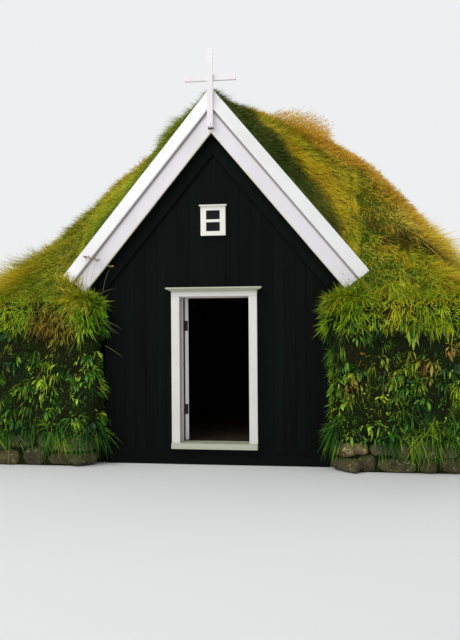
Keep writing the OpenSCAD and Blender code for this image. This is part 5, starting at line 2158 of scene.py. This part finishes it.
@dataclass
class Joinery:
    """The white trim, the door, the window, the tarred frieze and the timber inside."""

    ease: float = 0.003
    fine_ease: float = 0.002
    panel_ease: float = 0.001
    worn_under: float = 2.15
    # Where the painted shadow under the weather boards lies on the bargeboards.
    lap: float = 0.176
    # Size, place and colours of the dark plate under the cross's foot, a painted shadow.
    foot_shadow_h: float = 0.018
    foot_shadow_out: float = 0.0025
    foot_shadow_in: float = 0.004
    joint_wood: Palette = palette((120, 104, 88), (84, 72, 62))
    window_paint: Colour = srgb(250, 247, 238)
    # The bargeboards' lavender-grey white is painted shade on their upright faces, under the whiter
    # weather boards.
    lower_paint: Colour = srgb(236, 230, 235)
    casing_paint: Colour = srgb(232, 229, 224)
    # The jambs' darker white is painted shade in the doorway's reveals.
    reveal_paint: Colour = srgb(208, 201, 197)
    sill_paint: Colour = srgb(196, 198, 176)
    crown_paint: Colour = srgb(196, 200, 178)
    cross_paint: Colour = srgb(243, 236, 238)

    def painted(self, name: str, node: str, paint: Material, ease: float | None = None,
                body: str = HOUSE) -> None:
        """Let a white piece stand for one node, with edges eased by ease or by the usual width."""
        carried_over(name, [node], paint, self.ease if ease is None else ease, body)

    def boards(self) -> None:
        """Paint the bargeboards, the slanted weather boards over them and the cross."""
        s, c = math.sin(FORM.pitch), math.cos(FORM.pitch)
        # Painted shade: the bargeboards take the darker lavender white.
        lower = WhitePaint(paint=self.lower_paint, wear=0.7)
        upper = WhitePaint(wear=0.7)
        for (side, word), grain in zip(SIDES, (Grain.LEFT_SLOPE, Grain.RIGHT_SLOPE)):
            edge = ((side * s, 0.0, c), FORM.apex * c)
            self.painted(f"barge_{word}", f"bargeboard_{word}",
                         lower.build(f"barge_paint_{word}", grain, edge, self.worn_under, self.lap))
            self.painted(f"weather_{word}", f"weather_board_{word}",
                         upper.build(f"weather_paint_{word}", grain, None, self.worn_under))
        cross = WhitePaint(paint=self.cross_paint)
        for name, node, paint, material, grain in (
                ("rear_barge", "rear_bargeboards", lower, "rear_barge_paint", Grain.UPRIGHT),
                ("rear_weather", "rear_weather_boards", upper, "rear_weather_paint", Grain.UPRIGHT),
                ("cross_upright", "cross_post", cross, "cross_paint_upright", Grain.UPRIGHT),
                ("cross_bar", "cross_arm", cross, "cross_paint_level", Grain.LEVEL_X)):
            self.painted(name, node, paint.build(material, grain))
        self.cross_seat()

    def cross_seat(self) -> None:
        """Lay a dark plate under the cross's foot on the bargeboards: painted shadow."""
        lo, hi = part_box("cross_post")
        x0, x1, face, foot = lo.x, hi.x, hi.y, lo.z
        y0, y1 = face - self.foot_shadow_out, face + self.foot_shadow_in
        plan = np.array([[x0, y0], [x1, y0], [x1, y1], [x0, y1]])[None]
        low = np.full(plan.shape[:2], foot - self.foot_shadow_h)
        vertices, faces = prisms(plan, low, low + self.foot_shadow_h - 0.001)
        joint = BareTimber(*self.joint_wood)
        make_piece("cross_foot_shadow", vertices, faces, joint.build("joint_shadow", Grain.LEVEL_X),
                   "white_paint")

    def doorway(self) -> None:
        """Paint the casings, the jambs, the threshold, the crown and the open leaf."""
        casing = WhitePaint(paint=self.casing_paint)
        self.painted("casings", "door_casings", casing.build("casing_paint", Grain.UPRIGHT))
        # Painted shade: the jambs take a darker white than the casings.
        reveal = WhitePaint(paint=self.reveal_paint).build("reveal_paint", Grain.UPRIGHT)
        for name, node in (("jamb_left", "door_jamb_left"), ("jamb_right", "door_jamb_right"),
                           ("head_jamb", "door_head_jamb")):
            self.painted(name, node, reveal, self.fine_ease)
        sill = WhitePaint(paint=self.sill_paint, algae_share=0.12)
        self.painted("threshold", "door_threshold", sill.build("sill_paint", Grain.LEVEL_X))
        crown = WhitePaint(paint=self.crown_paint, algae_share=0.25, lying_algae=0.1)
        Crown().build(crown.build("crown_paint", Grain.LEVEL_X))
        leaf = WhitePaint().build("leaf_paint", Grain.UPRIGHT)
        self.painted("leaf_frame", "door_leaf", leaf, self.fine_ease, DOOR)
        self.painted("leaf_panels", "door_panels", leaf, self.panel_ease, DOOR)
        Panels().build(leaf)

    def window(self) -> None:
        """Paint the window's frame and drip cap, and glaze it."""
        paint = WhitePaint(paint=self.window_paint, algae_share=0.06)
        for name, node, material, grain in (
                ("window_sash", "window_frame", "window_paint", Grain.UPRIGHT),
                ("window_drip", "window_cap", "drip_paint", Grain.LEVEL_X)):
            self.painted(name, node, paint.build(material, grain), self.fine_ease)
        dress(["window_glass"], PaneGlass().build())

    def dark_parts(self) -> None:
        """Dress the frieze, the sill beams, the iron and the timber inside."""
        tar = TarredWood()
        carried_over("frieze", ["frieze_boards"], tar.build("tarred_frieze", False),
                     self.fine_ease)
        dress(["sill_beams"], tar.build("tarred_sills", False, Grain.LEVEL_X))
        dress(["jamb_hinges", "leaf_hinges", "door_latch"], OldIron().build())
        timber = BareTimber()
        members = (
            ("timber_upright", Grain.UPRIGHT, ["wall_posts", "lining_left", "lining_right"]),
            ("timber_across", Grain.LEVEL_X, ["floor_joists", "gable_rails", "collar_ties"]),
            ("timber_along", Grain.LEVEL_Y, ["wall_plate_left", "wall_plate_right",
                                             "roof_boards_left", "roof_boards_right",
                                             "floor_boards"]),
            ("timber_rafters", Grain.RIGHT_SLOPE, ["rafters"]),
        )
        for name, grain, nodes in members:
            dress(nodes, timber.build(name, grain))

    def build(self) -> None:
        """Dress all of it."""
        self.boards()
        self.doorway()
        self.window()
        self.dark_parts()


def main() -> None:
    """Build the stage and the house, piece by piece."""
    logging.basicConfig(level=logging.INFO, format="%(name)s: %(message)s")
    Studio().build()
    Joinery().build()
    Boarding().build(TarredWood().build("tarred_boards", True))
    # The walls' earth takes the near-black defaults: painted shade in the gaps of the growth.
    earth = Sod("wall_earth_painted_shade").build()
    sod = Sod("roof_sod", *palette((50, 54, 17), (118, 116, 32), (80, 98, 22))).build()
    Footing().build(FieldStone().build(), earth)
    faces = TurfFaces()
    faces.build(earth)
    roof = RoofSod()
    roof.build(sod)
    blades = Meadow(Growth("grass_blades").build())
    leaves = Meadow(Growth("broad_leaves", gloss=0.32, roughness=0.5).build())
    RoofGrass(roof, blades).build()
    WallGrowth(faces, blades, leaves).build()
    TallHerbs(blades).build()


if __name__ == "__main__":
    main()
